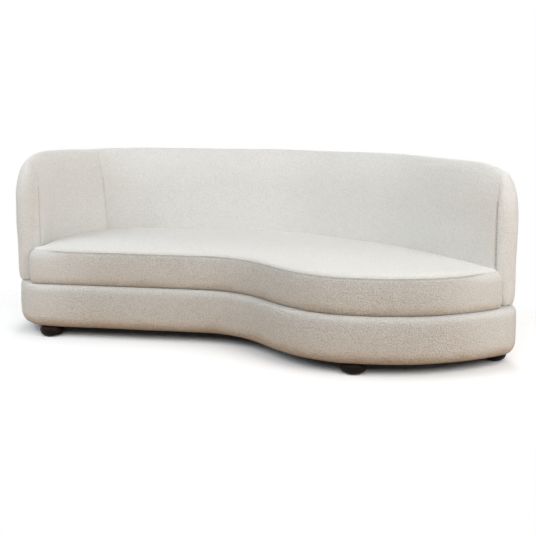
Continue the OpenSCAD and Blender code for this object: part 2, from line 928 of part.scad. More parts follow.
// Each wire lies across all the springs that reach past it
module tie_wires() {
    from_front = 165;
    from_back = 290;
    color("gray")
    for (y = [waist_y + from_front, back_y - from_back]) {
        crossed = [
            for (x = spring_places)
            let (bars = spring_bars(x))
            if (y > bars[0] + spring_pitch && y < last(bars) - spring_pitch) x
        ];
        translate([min(crossed) - spring_bar / 2, y, tie_wire_z])
        rotate([0, 90, 0])
        cylinder(d = tie_wire, h = max(crossed) - min(crossed) + spring_bar, $fn = wire_round);
    }
}

// ---- Seat upholstery ----

module seat_hessian() {
    color("tan")
    slab(rounded(inset(frame_edge, 3)), hessian_bottom, hessian_bottom + hessian_thickness);
}

// Foam block with a recess that drops over the frame
module seat_foam() {
    color("khaki")
    difference() {
        slab(rounded(inset(seat_edge, foam_in)), body_bottom, seat_foam_top);
        slab(rounded(inset(frame_edge, -fit_gap)), body_bottom - 1, seat_foam_bottom);
    }
}

// Distance in from the seam and share of the crown's rise, from the seam inwards
seat_shoulder = [[0, 0], [3, 0.35], [9, 0.65], [17, 0.88], [26, 1]];

// Crowned layer over the seat, between two heights above the seam's level
module seat_layer(bottom, top) {
    inner = last(seat_shoulder)[0];
    reach = top < 0 ? foam_in : 0;
    edge = inset(seat_edge, reach);
    function crowned(drop) = [
        for (p = seat_shoulder) [p[0], seat_height + p[1] * seat_crown + drop]
    ];
    swept_edge(edge, concat(crowned(top), backwards(crowned(bottom))));
    slab(rounded(inset(edge, inner)), last(crowned(bottom))[1], last(crowned(top))[1]);
}

module seat_topper() {
    color("white")
    difference() {
        seat_layer(-foam_in - seat_crown, -foam_in);
        translate([-sofa_length, -sofa_depth, 0])
        cube([2 * sofa_length, 2 * sofa_depth, seat_foam_top + fit_gap]);
    }
}

module seat_boxing() {
    color(cream)
    difference() {
        ring(seat_edge, 0, cover_thickness, body_bottom, seat_height - cover_thickness - fit_gap);
        slab(rounded(inset(frame_edge, -fit_gap)), body_bottom - 1, seat_foam_bottom);
    }
}

module seat_top_panel() {
    color(cream)
    seat_layer(-cover_thickness, 0);
}

// ---- Back frame ----

module back_rail(level, d_out) {
    color(timber)
    slab(strip(run_between, rail_in, d_out), level, level + ply);
}
module back_lower_rail() {
    difference() {
        back_rail(rail_levels[0], lower_rail_out);
        at_each(rear_bolts, rail_levels[0] - 1)
        cylinder(d = free_hole, h = ply + 2, $fn = small_round);
    }
}
module back_middle_rail() { back_rail(rail_levels[1], rail_out); }
module back_top_rail() { back_rail(rail_levels[2], top_rail_out); }

module back_posts() {
    color(timber)
    for (i = [0:back_post_count - 1]) {
        station = station_at(post_start + i * post_spacing);
        upright_at(station, back_post_width)
        translate([rail_in + post_play, rail_levels[0] + ply])
        square([rail_out - rail_in - 2 * post_play, rail_levels[1] - rail_levels[0] - ply]);
        upright_at(station, back_post_width)
        translate([rail_in + post_play, rail_levels[1] + ply])
        square([top_rail_out - rail_in - 2 * post_play, rail_levels[2] - rail_levels[1] - ply]);
    }
}

// Board that closes the frame at an arm's end
module end_board(distance) {
    color(timber)
    upright_at(station_at(distance), end_board_thickness)
    polygon([
        [rail_in, body_bottom],
        [rail_in, rail_levels[2] + ply],
        [top_rail_out, rail_levels[2] + ply],
        [top_rail_out, crown_spring - fit_gap],
        [rail_out, crown_spring - fit_gap],
        [rail_out, body_bottom + ply],
        [lower_rail_out, body_bottom + ply],
        [lower_rail_out, body_bottom]
    ]);
}
module left_end_board() { end_board(fit_gap + end_board_thickness / 2); }
module right_end_board() { end_board(run_length - fit_gap - end_board_thickness / 2); }

module back_inner_board() {
    color(timber)
    slab(
        strip(run_between, inner_board_in, rail_in),
        seat_foam_bottom,
        rail_levels[2] + ply
    );
}

module back_outer_board() {
    color(timber)
    slab(
        strip(run_between, rail_out, outer_board_out),
        body_bottom + hem_rise / 2,
        crown_spring - fit_gap
    );
}

// ---- Back upholstery ----

// Foam up the inside, over the crown and down to the outer board
module back_foam() {
    cavity_top = rail_levels[2] + ply + fit_gap;
    color("khaki")
    swept_back(run, concat(
        [[foam_in, seat_foam_bottom]],
        foam_crown,
        [
            [top_rail_out + fit_gap, crown_spring],
            [top_rail_out + fit_gap, cavity_top],
            [inner_board_in - fit_gap, cavity_top],
            [inner_board_in - fit_gap, seat_foam_bottom]
        ]
    ), len(foam_crown) + 1);
}

module back_wadding() {
    color("white")
    slab(
        strip(run, outer_board_out + fit_gap, wadding_out),
        body_bottom + hem_rise,
        crown_spring - fit_gap
    );
}

module left_arm_inside_cover() {
    stations = [for (i = [0:crease_stations[1]]) run[i]];
    color(cream)
    swept_back(stations, inside_section);
}

module back_inside_cover() {
    stations = [for (i = [crease_stations[1]:len(run) - 1]) run[i]];
    color(cream)
    swept_back(stations, inside_section);
}

inside_section = concat(
    [[0, seat_foam_bottom]],
    [for (i = [0:top_seam]) cover_crown[i]],
    [for (i = [top_seam:-1:0]) cover_lining[i]],
    [[cover_thickness, seat_foam_bottom]]
);
outside_section = concat(
    [for (i = [top_seam:len(cover_crown) - 1]) cover_crown[i]],
    outer_hem(0),
    backwards(outer_hem(cover_thickness)),
    [for (i = [len(cover_crown) - 1:-1:top_seam]) cover_lining[i]]
);

module back_outside_cover() {
    color(cream)
    swept_back(run, outside_section);
}

// The facing wraps an arm's round end from floor side to crown
function facing_section() = concat(inner_hem(), cover_crown, outer_hem(0));

module left_end_facing() {
    color(cream)
    swept_back(concat(left_nose, [run[0]]), facing_section());
}

module right_end_facing() {
    color(cream)
    swept_back(concat([last(run)], backwards(right_nose)), facing_section());
}

base_bottom_panel();
base_top_ring();
base_posts();
base_skin();
base_foam();
base_cover();
base_dust_cover();
foot_front_left();
foot_front_lobe();
foot_front_right();
foot_rear_left();
foot_rear_middle();
foot_rear_right();
foot_bolts();
foot_tee_nuts();
foot_glides();
seat_lower_ring();
seat_upper_ring();
seat_frame_blocks();
cross_rail_left();
cross_rail_middle();
cross_rail_right();
body_bolts();
body_washers();
body_tee_nuts();
spring_1();
spring_2();
spring_3();
spring_4();
spring_5();
spring_6();
spring_7();
spring_8();
spring_9();
spring_10();
spring_clips();
tie_wires();
seat_hessian();
seat_foam();
seat_topper();
seat_boxing();
seat_top_panel();
back_lower_rail();
back_middle_rail();
back_top_rail();
back_posts();
left_end_board();
right_end_board();
back_inner_board();
back_outer_board();
back_foam();
back_wadding();
left_arm_inside_cover();
back_inside_cover();
back_outside_cover();
left_end_facing();
right_end_facing();
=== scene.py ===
import json
import math
import bmesh
import bpy
import numpy as np
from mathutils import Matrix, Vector, noise
from mathutils.bvhtree import BVHTree
from mathutils.geometry import delaunay_2d_cdt
from mathutils.kdtree import KDTree


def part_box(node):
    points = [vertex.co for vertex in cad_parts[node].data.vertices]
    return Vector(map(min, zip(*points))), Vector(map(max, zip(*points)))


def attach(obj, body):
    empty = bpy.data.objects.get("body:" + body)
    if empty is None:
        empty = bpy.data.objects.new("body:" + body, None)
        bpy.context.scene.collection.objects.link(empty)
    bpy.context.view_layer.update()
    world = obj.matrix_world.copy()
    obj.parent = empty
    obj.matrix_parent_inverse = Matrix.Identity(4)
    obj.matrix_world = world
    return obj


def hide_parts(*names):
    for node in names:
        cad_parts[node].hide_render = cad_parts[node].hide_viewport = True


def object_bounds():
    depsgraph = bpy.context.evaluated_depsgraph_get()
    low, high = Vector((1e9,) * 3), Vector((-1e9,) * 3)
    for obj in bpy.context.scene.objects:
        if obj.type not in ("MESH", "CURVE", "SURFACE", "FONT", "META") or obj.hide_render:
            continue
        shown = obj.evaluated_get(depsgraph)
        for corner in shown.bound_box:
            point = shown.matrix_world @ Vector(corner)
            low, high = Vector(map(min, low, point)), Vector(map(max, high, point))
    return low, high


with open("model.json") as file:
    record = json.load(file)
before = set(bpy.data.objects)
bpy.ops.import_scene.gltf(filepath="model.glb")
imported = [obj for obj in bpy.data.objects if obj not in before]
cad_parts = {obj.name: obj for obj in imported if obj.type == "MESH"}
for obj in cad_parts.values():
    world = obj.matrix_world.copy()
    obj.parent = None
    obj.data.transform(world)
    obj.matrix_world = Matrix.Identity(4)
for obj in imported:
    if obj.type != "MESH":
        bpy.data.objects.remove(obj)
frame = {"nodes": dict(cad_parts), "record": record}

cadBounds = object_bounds()
scene = bpy.context.scene
body = "root"

# The sofa's plan: corners of (x, y, fillet radius), moved in and out
sofaPlan = {
    "backThickness": 0.110, "seatDepth": 0.593, "seatSetback": 0.032, "seatOverhang": 0.024,
    "seatGap": 0.0004, "tipAngle": math.radians(30),  # slope of the seat's edge past the arm's round end
    "filletStep": 2.0, "leastRadius": 0.001,
}


def leftOf(v):
    return np.array((-v[1], v[0]))


def crossOf(a, b):
    return a[0] * b[1] - a[1] * b[0]


def headingOf(a, b):
    way = np.array(b[:2], float) - np.array(a[:2], float)
    return way / np.linalg.norm(way)


def movedCorner(a, b, c, d):
    u, w = headingOf(a, b), headingOf(b, c)
    m = (leftOf(u) + leftOf(w)) / (1 + leftOf(u) @ leftOf(w))
    side = np.sign(crossOf(u, w))
    return (b[0] + m[0] * d, b[1] + m[1] * d, max(b[2] - side * d, sofaPlan["leastRadius"]))


def cornersBetween(corners, closed):  # each corner with both its neighbours
    if closed:
        return zip(corners[-1:] + corners, corners, corners[1:] + corners[:1])
    return zip(corners, corners[1:], corners[2:])


def movedLine(corners, d, closed):  # an outline moved inwards, or an open run moved to its left
    inner = [movedCorner(a, b, c, d) for a, b, c in cornersBetween(corners, closed)]
    if closed:
        return inner
    ends = [np.array(p[:2]) + leftOf(headingOf(*pair)) * d
            for p, pair in ((corners[0], corners[:2]), (corners[-1], corners[-2:]))]
    return [(*ends[0], 0)] + inner + [(*ends[1], 0)]


def crossingOf(a, b, c, d):  # where the lines ab and cd meet
    a, b, c, d = (np.array(p[:2], float) for p in (a, b, c, d))
    u, v = b - a, d - c
    return a + u * crossOf(c - a, v) / crossOf(u, v)


def filletOf(a, b, c):  # points and left normals round one corner
    u, w = headingOf(a, b), headingOf(b, c)
    turn = math.atan2(crossOf(u, w), u @ w)
    side = np.sign(turn)
    start = np.array(b[:2]) - u * b[2] * math.tan(abs(turn) / 2)
    centre = start + leftOf(u) * side * b[2]
    parts = max(2, math.ceil(math.degrees(abs(turn)) / sofaPlan["filletStep"]))
    first = math.atan2(*(start - centre)[::-1])
    out = []
    for j in range(parts + 1):
        angle = first + turn * j / parts
        ray = np.array((math.cos(angle), math.sin(angle)))
        out.append((centre + ray * b[2], -ray * side))
    return out


def roundedLine(corners, closed):
    rounds = [spot for a, b, c in cornersBetween(corners, closed) for spot in filletOf(a, b, c)]
    if closed:
        return rounds
    first, last = ((np.array(p[:2], float), leftOf(headingOf(*pair)))
                   for p, pair in ((corners[0], corners[:2]), (corners[-1], corners[-2:])))
    return [first] + rounds + [last]


def distancesOf(points):  # how far along a line each of its points is
    return np.concatenate([[0], np.cumsum(np.linalg.norm(np.diff(points, axis=0), axis=1))])


def readAlong(along, values, s):
    return np.stack([np.interp(s, along, values[:, k]) for k in range(values.shape[1])], -1)


class Track:  # a line in plan that can be read at any distance along it
    def __init__(self, corners, closed):
        spots = roundedLine(corners, closed)
        self.points, self.normals = (np.array(v) for v in zip(*(spots + spots[:1] if closed else spots)))
        self.along = distancesOf(self.points)
        self.length = self.along[-1]

    def at(self, s):
        m = readAlong(self.along, self.normals, s)
        return readAlong(self.along, self.points, s), m / np.linalg.norm(m, axis=-1, keepdims=True)

    def nearest(self, point):
        marks = np.linspace(0, self.length, 4000)
        return marks[np.argmin(np.linalg.norm(self.at(marks)[0] - point, axis=1))]


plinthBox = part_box("base_cover")
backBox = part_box("back_outside_cover")
leftX, frontY, plinthLow = plinthBox[0]
rightX, rearY, plinthHigh = plinthBox[1]
backLow = backBox[0][2]
backT = sofaPlan["backThickness"]
endR = backT / 2
backY = rearY - backT
waistY = backY - sofaPlan["seatDepth"]

insideFace = [  # from the left arm's end round to the right end
    (leftX + backT, waistY + 0.136, 0),
    (leftX + backT, waistY + 0.278, 0.220),
    (leftX + 0.312, backY - 0.067, 0.006),
    (leftX + 0.450, backY, 0.300),
    (rightX - 1.000, backY, 0.650),
    (rightX - 0.479, backY - 0.263, 0.800),
    (rightX - 0.093, frontY + 0.257, 0),
]
rearEdge = movedLine(insideFace, backT, False)
(farX, farY), (nearX, nearY) = rearEdge[5][:2], rearEdge[6][:2]
rightCrossY = nearY + (farY - nearY) * (rightX - nearX) / (farX - nearX)
plinthEdge = [  # from the left end along the front, over the lobe, to the right end
    (leftX, waistY, 0.190),
    (rightX - 1.226, waistY, 0.420),
    (rightX - 0.885, frontY, 0.560),
    (rightX - 0.335, frontY, 1.020),
    (rightX, frontY + 0.218, 0.100),
    (rightX, rightCrossY, 0.100),
] + rearEdge[5:0:-1]

seatFront = movedLine(plinthEdge, sofaPlan["seatSetback"], True)
seatRear = movedLine(insideFace, -sofaPlan["seatGap"], False)
noseClear = (endR + sofaPlan["seatGap"]) / math.cos(sofaPlan["tipAngle"])
seatLeftX = insideFace[0][0] - sofaPlan["seatOverhang"]
seatTip = crossingOf(seatFront[3], seatFront[4], seatRear[6], seatRear[5])
seatNotchY = insideFace[0][1] - noseClear / 2
seatEdge = (
    [(seatLeftX, seatFront[0][1], 0.036)] + seatFront[1:4]
    + [(seatTip[0], seatTip[1], 0.020)] + seatRear[5:0:-1]
    + [(seatRear[0][0], seatNotchY, 0.008),
       (seatLeftX, seatNotchY - (seatRear[0][0] - seatLeftX) * math.tan(sofaPlan["tipAngle"]), 0.004)]
)

plinthTrack = Track(plinthEdge, True)
seatTrack = Track(seatEdge, True)
runTrack = Track(insideFace, False)
print("plan ready: run %.3f m, plinth %.3f m, seat %.3f m"
      % (runTrack.length, plinthTrack.length, seatTrack.length))

# Meshes: points crowd together beside a seam, so that it can be sharp
meshing = {"seamOffsets": (0.0012, 0.0026, 0.0042, 0.0064, 0.0095), "seamStep": 0.002, "joined": 0.0004}


def newPiece(name, verts, faces, material, smooth=True):
    mesh = bpy.data.meshes.new(name)
    mesh.from_pydata([tuple(v) for v in verts], [], faces)
    mesh.validate()
    mesh.update()
    piece = bpy.data.objects.new(name, mesh)
    scene.collection.objects.link(piece)
    mesh.materials.append(material)
    if smooth:
        mesh.polygons.foreach_set("use_smooth", [True] * len(mesh.polygons))
    return piece


def gridFaces(rows, cols, closed=False, base=0):
    faces = []
    for i in range(rows - 1):
        for j in range(cols if closed else cols - 1):
            a, b = base + i * cols + j, base + i * cols + (j + 1) % cols
            faces.append((a, b, b + cols, a + cols))
    return faces


def faceOutward(piece, hints):  # turns the piece over if its faces look against the hints at their points
    if sum(Vector(hints[p.vertices[0]]).dot(p.normal) * p.area for p in piece.data.polygons) < 0:
        piece.data.flip_normals()


def alignFaces(piece, joined=0):  # joins points that lie closer than that, and turns every face the same way
    shell = bmesh.new()
    shell.from_mesh(piece.data)
    if joined:
        bmesh.ops.remove_doubles(shell, verts=shell.verts, dist=joined)
    bmesh.ops.recalc_face_normals(shell, faces=shell.faces)
    shell.to_mesh(piece.data)
    shell.free()


def graded(start, end, step, dense=()):  # even marks, and closer ones on both sides of each dense mark
    offsets = meshing["seamOffsets"]
    marks = np.linspace(start, end, max(2, math.ceil((end - start) / step) + 1))
    keep = [m for m in marks if all(abs(m - d) > offsets[-1] * 1.2 for d in dense)] + [start, end]
    for d in dense:
        keep += [d] + [d + k for k in offsets] + [d - k for k in offsets]
    return np.array(sorted({round(k, 6) for k in keep if start - 1e-9 <= k <= end + 1e-9}))


def thicken(piece, thickness):
    skin = piece.modifiers.new("clothThickness", "SOLIDIFY")
    skin.thickness = thickness
    skin.offset = -1
    skin.use_even_offset = False


def vectorsOf(mesh, kind):
    values = np.zeros(len(mesh.vertices) * 3, np.float32)
    mesh.vertices.foreach_get(kind, values)
    return values.reshape(-1, 3)


clothSettling = {
    "frames": 20, "evening": 36,  # how often the padding evens out what the cloth did
    "rules": {"quality": 4, "mass": 0.25, "tension_stiffness": 16.0, "compression_stiffness": 16.0,
              "shear_stiffness": 6.0, "bending_stiffness": 0.6, "use_pressure": True},
}


def settleCover(piece, sewn, pressure, cap):  # lets the stuffing push the cloth out between its seams
    mesh = piece.data
    group = piece.vertex_groups.new(name="sewn")
    group.add([int(i) for i in sewn], 1, "REPLACE")
    cloth = piece.modifiers.new("settling", "CLOTH")
    for key, value in clothSettling["rules"].items():
        setattr(cloth.settings, key, value)
    cloth.settings.vertex_group_mass = "sewn"
    cloth.settings.uniform_pressure_force = pressure
    cloth.settings.effector_weights.gravity = 0
    cloth.collision_settings.use_collision = False
    cloth.point_cache.frame_start, cloth.point_cache.frame_end = 1, clothSettling["frames"]
    for frameNumber in range(1, clothSettling["frames"] + 1):
        scene.frame_set(frameNumber)
    settled = piece.evaluated_get(bpy.context.evaluated_depsgraph_get()).data
    before, outward = vectorsOf(mesh, "co"), vectorsOf(mesh, "normal")
    rise = np.sum((vectorsOf(settled, "co") - before) * outward, axis=1)
    a, b = np.array([tuple(e.vertices) for e in mesh.edges]).T
    neighbours = np.maximum(np.bincount(np.concatenate([a, b]), minlength=len(rise)), 1)
    even = np.clip(rise, 0, 2 * cap)
    for _ in range(clothSettling["evening"]):
        around = np.bincount(a, even[b], len(rise)) + np.bincount(b, even[a], len(rise))
        even = 0.5 * even + 0.5 * around / neighbours
        even[sewn] = 0
    even = cap * np.tanh(even / cap)
    mesh.vertices.foreach_set("co", (before + (outward * even[:, None]).astype(np.float32)).ravel())
    piece.modifiers.remove(cloth)
    piece.vertex_groups.remove(group)
    scene.frame_set(1)
    mesh.update()
    print("settled %s: most %.1f mm, kept %.1f mm"
          % (piece.name, 1000 * float(rise.max()), 1000 * float(even.max())))


def nearTree(points):
    tree = KDTree(len(points))
    for i, p in enumerate(points):
        tree.insert((p[0], p[1], p[2] if len(p) > 2 else 0), i)
    tree.balance()
    return tree


def planGap(tree, p):  # distance in plan
    return tree.find((p[0], p[1], 0))[2]


def smoothRise(x, start=0, over=1):
    x = np.clip((x - start) / over, 0, 1)
    return float(x * x * (3 - 2 * x))


def hump(x, width):
    return math.exp(-(x / width) ** 2)


def rippled(p, height, size, seed):
    return height * noise.noise(Vector(p) / size + Vector((seed * 7.3, seed * 3.1, seed * 1.7)))


def cornerArc(reach, rise, count):  # quarter of an ellipse from flat to upright: (distance in, height)
    return [(reach * (1 - math.sin(t)), rise * (1 - math.cos(t))) for t in np.linspace(0, math.pi / 2, count)]


def sampledLine(points, step, dense=()):  # graded points along a profile, and the way out of it at each
    points = np.array(points, float)
    along = distancesOf(points)
    marks = graded(0, along[-1], step, [along[i] for i in dense])
    fine, ahead, behind = (readAlong(along, points, np.clip(marks + d, 0, along[-1]))
                           for d in (0, 0.001, -0.001))
    way = ahead - behind
    way /= np.linalg.norm(way, axis=1, keepdims=True)
    return fine, np.stack([way[:, 1], -way[:, 0]], -1)


class Seams:  # lines that pull the cover in, each with its own depth and width
    def __init__(self):
        self.lines = []

    def add(self, points, depths, width):
        points = np.array(points, float)
        along = distancesOf(points)
        marks = np.linspace(0, along[-1], max(2, int(along[-1] / meshing["seamStep"])))
        self.lines.append((nearTree(readAlong(along, points, marks)), np.interp(marks, along, depths), width))

    def dip(self, p):
        total = 0
        for tree, depths, width in self.lines:
            i, away = tree.find(p)[1:]
            total += depths[i] * hump(away, width)
        return total


# Finishes: effects that several materials share are node groups
def addNode(tree, kind, values=None, **settings):
    node = tree.nodes.new("ShaderNode" + kind)
    for key, value in settings.items():
        setattr(node, key, value)
    for key, value in (values or {}).items():
        if hasattr(value, "is_output"):
            tree.links.new(value, node.inputs[key])
        else:
            node.inputs[key].default_value = value
    return node


def linkAll(tree, sockets, values):
    for key, value in values.items():
        tree.links.new(value, sockets[key])


def mathNode(tree, operation, a, b=0.0, c=0.0):
    return addNode(tree, "Math", {0: a, 1: b, 2: c}, operation=operation).outputs[0]


def times(tree, a, b):
    return mathNode(tree, "MULTIPLY", a, b)


def blended(tree, a, aShare, b, bShare):
    return mathNode(tree, "MULTIPLY_ADD", a, aShare, times(tree, b, bShare))


def vectorNode(tree, operation, a, b=(0, 0, 0), scale=1.0):
    node = addNode(tree, "VectorMath", {0: a, 1: b, 3: scale}, operation=operation)
    return node.outputs["Value" if operation == "LENGTH" else "Vector"]


def noiseNode(tree, place, scale, detail, roughness=0.5, distortion=0.0):
    return addNode(tree, "TexNoise", {"Vector": place, "Scale": scale, "Detail": detail,
                                      "Roughness": roughness, "Distortion": distortion}).outputs


def rangeNode(tree, value, fromMin, fromMax, toMin=0.0, toMax=1.0, steps="LINEAR"):
    return addNode(tree, "MapRange", {"Value": value, "From Min": fromMin, "From Max": fromMax,
                                      "To Min": toMin, "To Max": toMax}, interpolation_type=steps).outputs[0]


def spread(tree, mask, atZero, atOne):
    return rangeNode(tree, mask, 0, 1, atZero, atOne)


def mixColour(tree, factor, a, b, blend="MIX"):
    return addNode(tree, "Mix", {"Factor": factor, 6: a, 7: b}, data_type="RGBA", blend_type=blend).outputs[2]


def newGroup(recipe, inputs):  # the recipe turns the group's inputs, Vector first, into its outputs
    group = bpy.data.node_groups.new(recipe.__name__, "ShaderNodeTree")
    group.interface.new_socket(name="Vector", in_out="INPUT", socket_type="NodeSocketVector")
    for label, value in inputs.items():
        kind = "NodeSocketVector" if isinstance(value, tuple) else "NodeSocketFloat"
        group.interface.new_socket(name=label, in_out="INPUT", socket_type=kind).default_value = value
    source = group.nodes.new("NodeGroupInput").outputs
    made = recipe(group, *[source[label] for label in ("Vector", *inputs)])
    for label in made:
        group.interface.new_socket(name=label, in_out="OUTPUT", socket_type="NodeSocketFloat")
    linkAll(group, group.nodes.new("NodeGroupOutput").inputs, made)
    return group


# Looped wool yarn: round loops of two sizes, wandering about, with loose fibres between them
def loopedYarn(group, place, loopSize, wander):
    scale = mathNode(group, "DIVIDE", 1.0, loopSize)
    drift = noiseNode(group, place, times(group, scale, 0.45), 2.0, 0.6)["Color"]
    amount = times(group, times(group, wander, loopSize), 2.6)
    pushed = vectorNode(group, "SCALE", vectorNode(group, "SUBTRACT", drift, (0.5, 0.5, 0.5)), scale=amount)
    moved = vectorNode(group, "ADD", place, pushed)
    big = addNode(group, "TexVoronoi", {"Vector": moved, "Scale": scale, "Smoothness": 0.35},
                  feature="SMOOTH_F1")
    small = addNode(group, "TexVoronoi", {"Vector": moved, "Scale": times(group, scale, 2.15)})
    fibre = noiseNode(group, moved, times(group, scale, 5.0), 3.0, 0.7)["Fac"]
    loops = rangeNode(group, big.outputs["Distance"], 0.05, 0.75, 1.0, 0.0)
    curls = rangeNode(group, small.outputs["Distance"], 0.05, 0.8, 1.0, 0.0)
    return {"Height": mathNode(group, "MULTIPLY_ADD", fibre, 0.22, blended(group, curls, 0.38, loops, 0.62)),
            "Loops": blended(group, curls, 0.4, loops, 0.6),
            "Patches": rangeNode(group, noiseNode(group, place, 5.5, 3.0, 0.55)["Fac"], 0.3, 0.7)}


# Grain of turned or sliced wood: long streaks across one axis with pores
def woodGrain(group, place, streak):
    drawn = vectorNode(group, "MULTIPLY", place, streak)
    return {"Grain": rangeNode(group, noiseNode(group, drawn, 1.0, 5.0, 0.62, 0.6)["Fac"], 0.32, 0.68),
            "Pores": rangeNode(group, noiseNode(group, drawn, 7.0, 2.0)["Fac"], 0.55, 0.75)}


# Plain weave of two threads at right angles
def plainWeave(group, place, thread):
    pitch = mathNode(group, "DIVIDE", math.pi, thread)
    axes = addNode(group, "SeparateXYZ", {0: place}).outputs
    waves = [mathNode(group, "ABSOLUTE", mathNode(group, "SINE", times(group, axes[k], pitch)))
             for k in (0, 1)]
    height = mathNode(group, "MAXIMUM", *waves)
    return {"Height": height, "Threads": times(group, height, noiseNode(group, place, 60.0, 3.0)["Fac"])}


# Open cells of foam and the loose fibres of wadding
def foamCells(group, place, cell):
    size = mathNode(group, "DIVIDE", 1.0, cell)
    cells = addNode(group, "TexVoronoi", {"Vector": place, "Scale": size}).outputs["Distance"]
    return {"Height": cells,
            "Cells": blended(group, cells, 0.5, noiseNode(group, place, 30.0, 4.0)["Fac"], 0.5)}


# Worn or rolled metal: fine scratches along one way and dull patches
def rolledMetal(group, place, scratch):
    drawn = vectorNode(group, "MULTIPLY", place, (1.0, 0.08, 1.0))
    return {"Scratches": noiseNode(group, drawn, scratch, 3.0)["Fac"],
            "Patches": rangeNode(group, noiseNode(group, place, 25.0, 4.0)["Fac"], 0.35, 0.65)}


# Masks for painted shade on a band: painted shade falling slowly from its upper edge, painted shade at its
# foot, a line of painted shade in the crease along its top stitches, and how near a spot is to the middle of
# the band, away from its smoother ends
def bandShading(group, place, high, low, left, right):
    spot = addNode(group, "SeparateXYZ", {0: place}).outputs
    fromLeft = mathNode(group, "SUBTRACT", spot["X"], left)
    fromRight = mathNode(group, "SUBTRACT", right, spot["X"])
    middle = times(group, rangeNode(group, fromLeft, 0.05, 0.45, steps="SMOOTHSTEP"),
                   rangeNode(group, fromRight, 0.05, 0.40, steps="SMOOTHSTEP"))
    level = rangeNode(group, spot["Z"], high, low)
    down = mathNode(group, "ADD", level, spread(group, noiseNode(group, place, 9.0, 3.0)["Fac"], -0.14, 0.14))
    line = rangeNode(group, level, 0.015, 0.045, 1, 0)
    return {"Fall": times(group, rangeNode(group, down, 0.0, 0.9), spread(group, middle, 0.3, 1)),
            "Foot": rangeNode(group, down, 0.70, 1.0, steps="SMOOTHSTEP"),
            "Needle Line": times(group, line, rangeNode(group, middle, 0.0, 0.15)),
            "Middle": middle}


yarnGroup = newGroup(loopedYarn, {"Loop Size": 0.004, "Wander": 0.5})
grainGroup = newGroup(woodGrain, {"Streak": (6.0, 6.0, 60.0)})
weaveGroup = newGroup(plainWeave, {"Thread": 0.0012})
cellGroup = newGroup(foamCells, {"Cell": 0.002})
metalGroup = newGroup(rolledMetal, {"Scratch": 400.0})
bandShadingGroup = newGroup(bandShading, {"High": 1.0, "Low": 0.0, "Left": -1.0, "Right": 1.0})


def placeGroup(tree, group, values):
    place = addNode(tree, "TexCoord").outputs["Object"]
    return addNode(tree, "Group", {"Vector": place, **values}, node_tree=group).outputs


def newMaterial(name, fixed):  # constant values sit on the shader's own sockets
    material = bpy.data.materials.new(name)
    material.use_nodes = True
    tree = material.node_tree
    shader = tree.nodes["Principled BSDF"].inputs
    for key, value in fixed.items():
        shader[key].default_value = value
    return material, tree, shader


def dressShader(tree, shader, colour, roughness, height, depth):
    bump = addNode(tree, "Bump", {"Height": height, "Distance": depth})
    linkAll(tree, shader, {"Base Color": colour, "Roughness": roughness, "Normal": bump.outputs["Normal"]})


clothFinish = {  # one cloth, brushed smooth on the back and seat top, looped with deeper painted gap shade on the boxing and plinth
    # the last colour is painted shade in the gaps between the loops
    "light": (0.862, 0.860, 0.842, 1), "shade": (0.838, 0.832, 0.806, 1), "gapShadeColour": (0.570, 0.530, 0.475, 1),
    "patchiness": 0.45, "roughness": (0.98, 0.86),  # between the loops and on them
    # painted shade in the gaps between the loops: its reach and depth
    "brushed": {"loopSize": 0.0068, "wander": 0.6, "relief": 0.0026, "gapShade": (0.62, 0.32)},
    "looped": {"loopSize": 0.0056, "wander": 0.6, "relief": 0.0062, "gapShade": (0.50, 0.72)},
    "smoothEnds": {"gapShade": 0.5, "relief": 0.6},  # what is left of the painted gap shade and of the relief at the ends of a band
    # painted shade: darker and warmer down each band, at its foot and in the crease below its seam
    "paintedShades": {"Fall": (0.985, 0.935, 0.885, 1), "Foot": (0.83, 0.74, 0.64, 1),
              "Needle Line": (0.70, 0.68, 0.65, 1)},
    "fixed": {"Sheen Weight": 0.18, "Sheen Roughness": 0.55, "Specular IOR Level": 0.18},
}
woodFinish = {"poreShare": 0.6, "poreShade": 0.45, "poreDepth": 0.00015, "roughnessSpread": 0.1,
              "fixed": {"Specular IOR Level": 0.10}}


def creamCloth(name, pile, band=None, paintedShades=()):
    material, tree, shader = newMaterial(name, clothFinish["fixed"])
    yarn = placeGroup(tree, yarnGroup, {"Loop Size": pile["loopSize"], "Wander": pile["wander"]})
    gapShade, height = rangeNode(tree, yarn["Loops"], 0.05, *pile["gapShade"], 0.0), yarn["Height"]
    if band is not None:
        (left, _, low), (right, _, high) = band
        bandShades = placeGroup(tree, bandShadingGroup, {"High": high, "Low": low, "Left": left, "Right": right})
        gapShade = times(tree, gapShade, spread(tree, bandShades["Middle"], clothFinish["smoothEnds"]["gapShade"], 1))
        height = times(tree, height, spread(tree, bandShades["Middle"], clothFinish["smoothEnds"]["relief"], 1))
    patches = spread(tree, yarn["Patches"], 0, clothFinish["patchiness"])
    colour = mixColour(tree, patches, clothFinish["light"], clothFinish["shade"])
    # painted shade in the gaps between the loops
    colour = mixColour(tree, gapShade, colour, clothFinish["gapShadeColour"])
    # painted shade down the band, at its foot and in the crease below its seam
    for tint in paintedShades:
        colour = mixColour(tree, bandShades[tint], colour, clothFinish["paintedShades"][tint], "MULTIPLY")
    dressShader(tree, shader, colour, spread(tree, yarn["Loops"], *clothFinish["roughness"]),
                height, pile["relief"])
    return material


def turnedWood(name, dark, light, roughness, streak):
    material, tree, shader = newMaterial(name, woodFinish["fixed"])
    grain = placeGroup(tree, grainGroup, {"Streak": streak})
    inPores = [k * woodFinish["poreShade"] for k in dark[:3]] + [1]
    colour = mixColour(tree, spread(tree, grain["Pores"], 0, woodFinish["poreShare"]),
                       mixColour(tree, grain["Grain"], dark, light), inPores)
    rough = spread(tree, grain["Grain"], roughness, roughness + woodFinish["roughnessSpread"])
    dressShader(tree, shader, colour, rough, grain["Pores"], -woodFinish["poreDepth"])
    return material


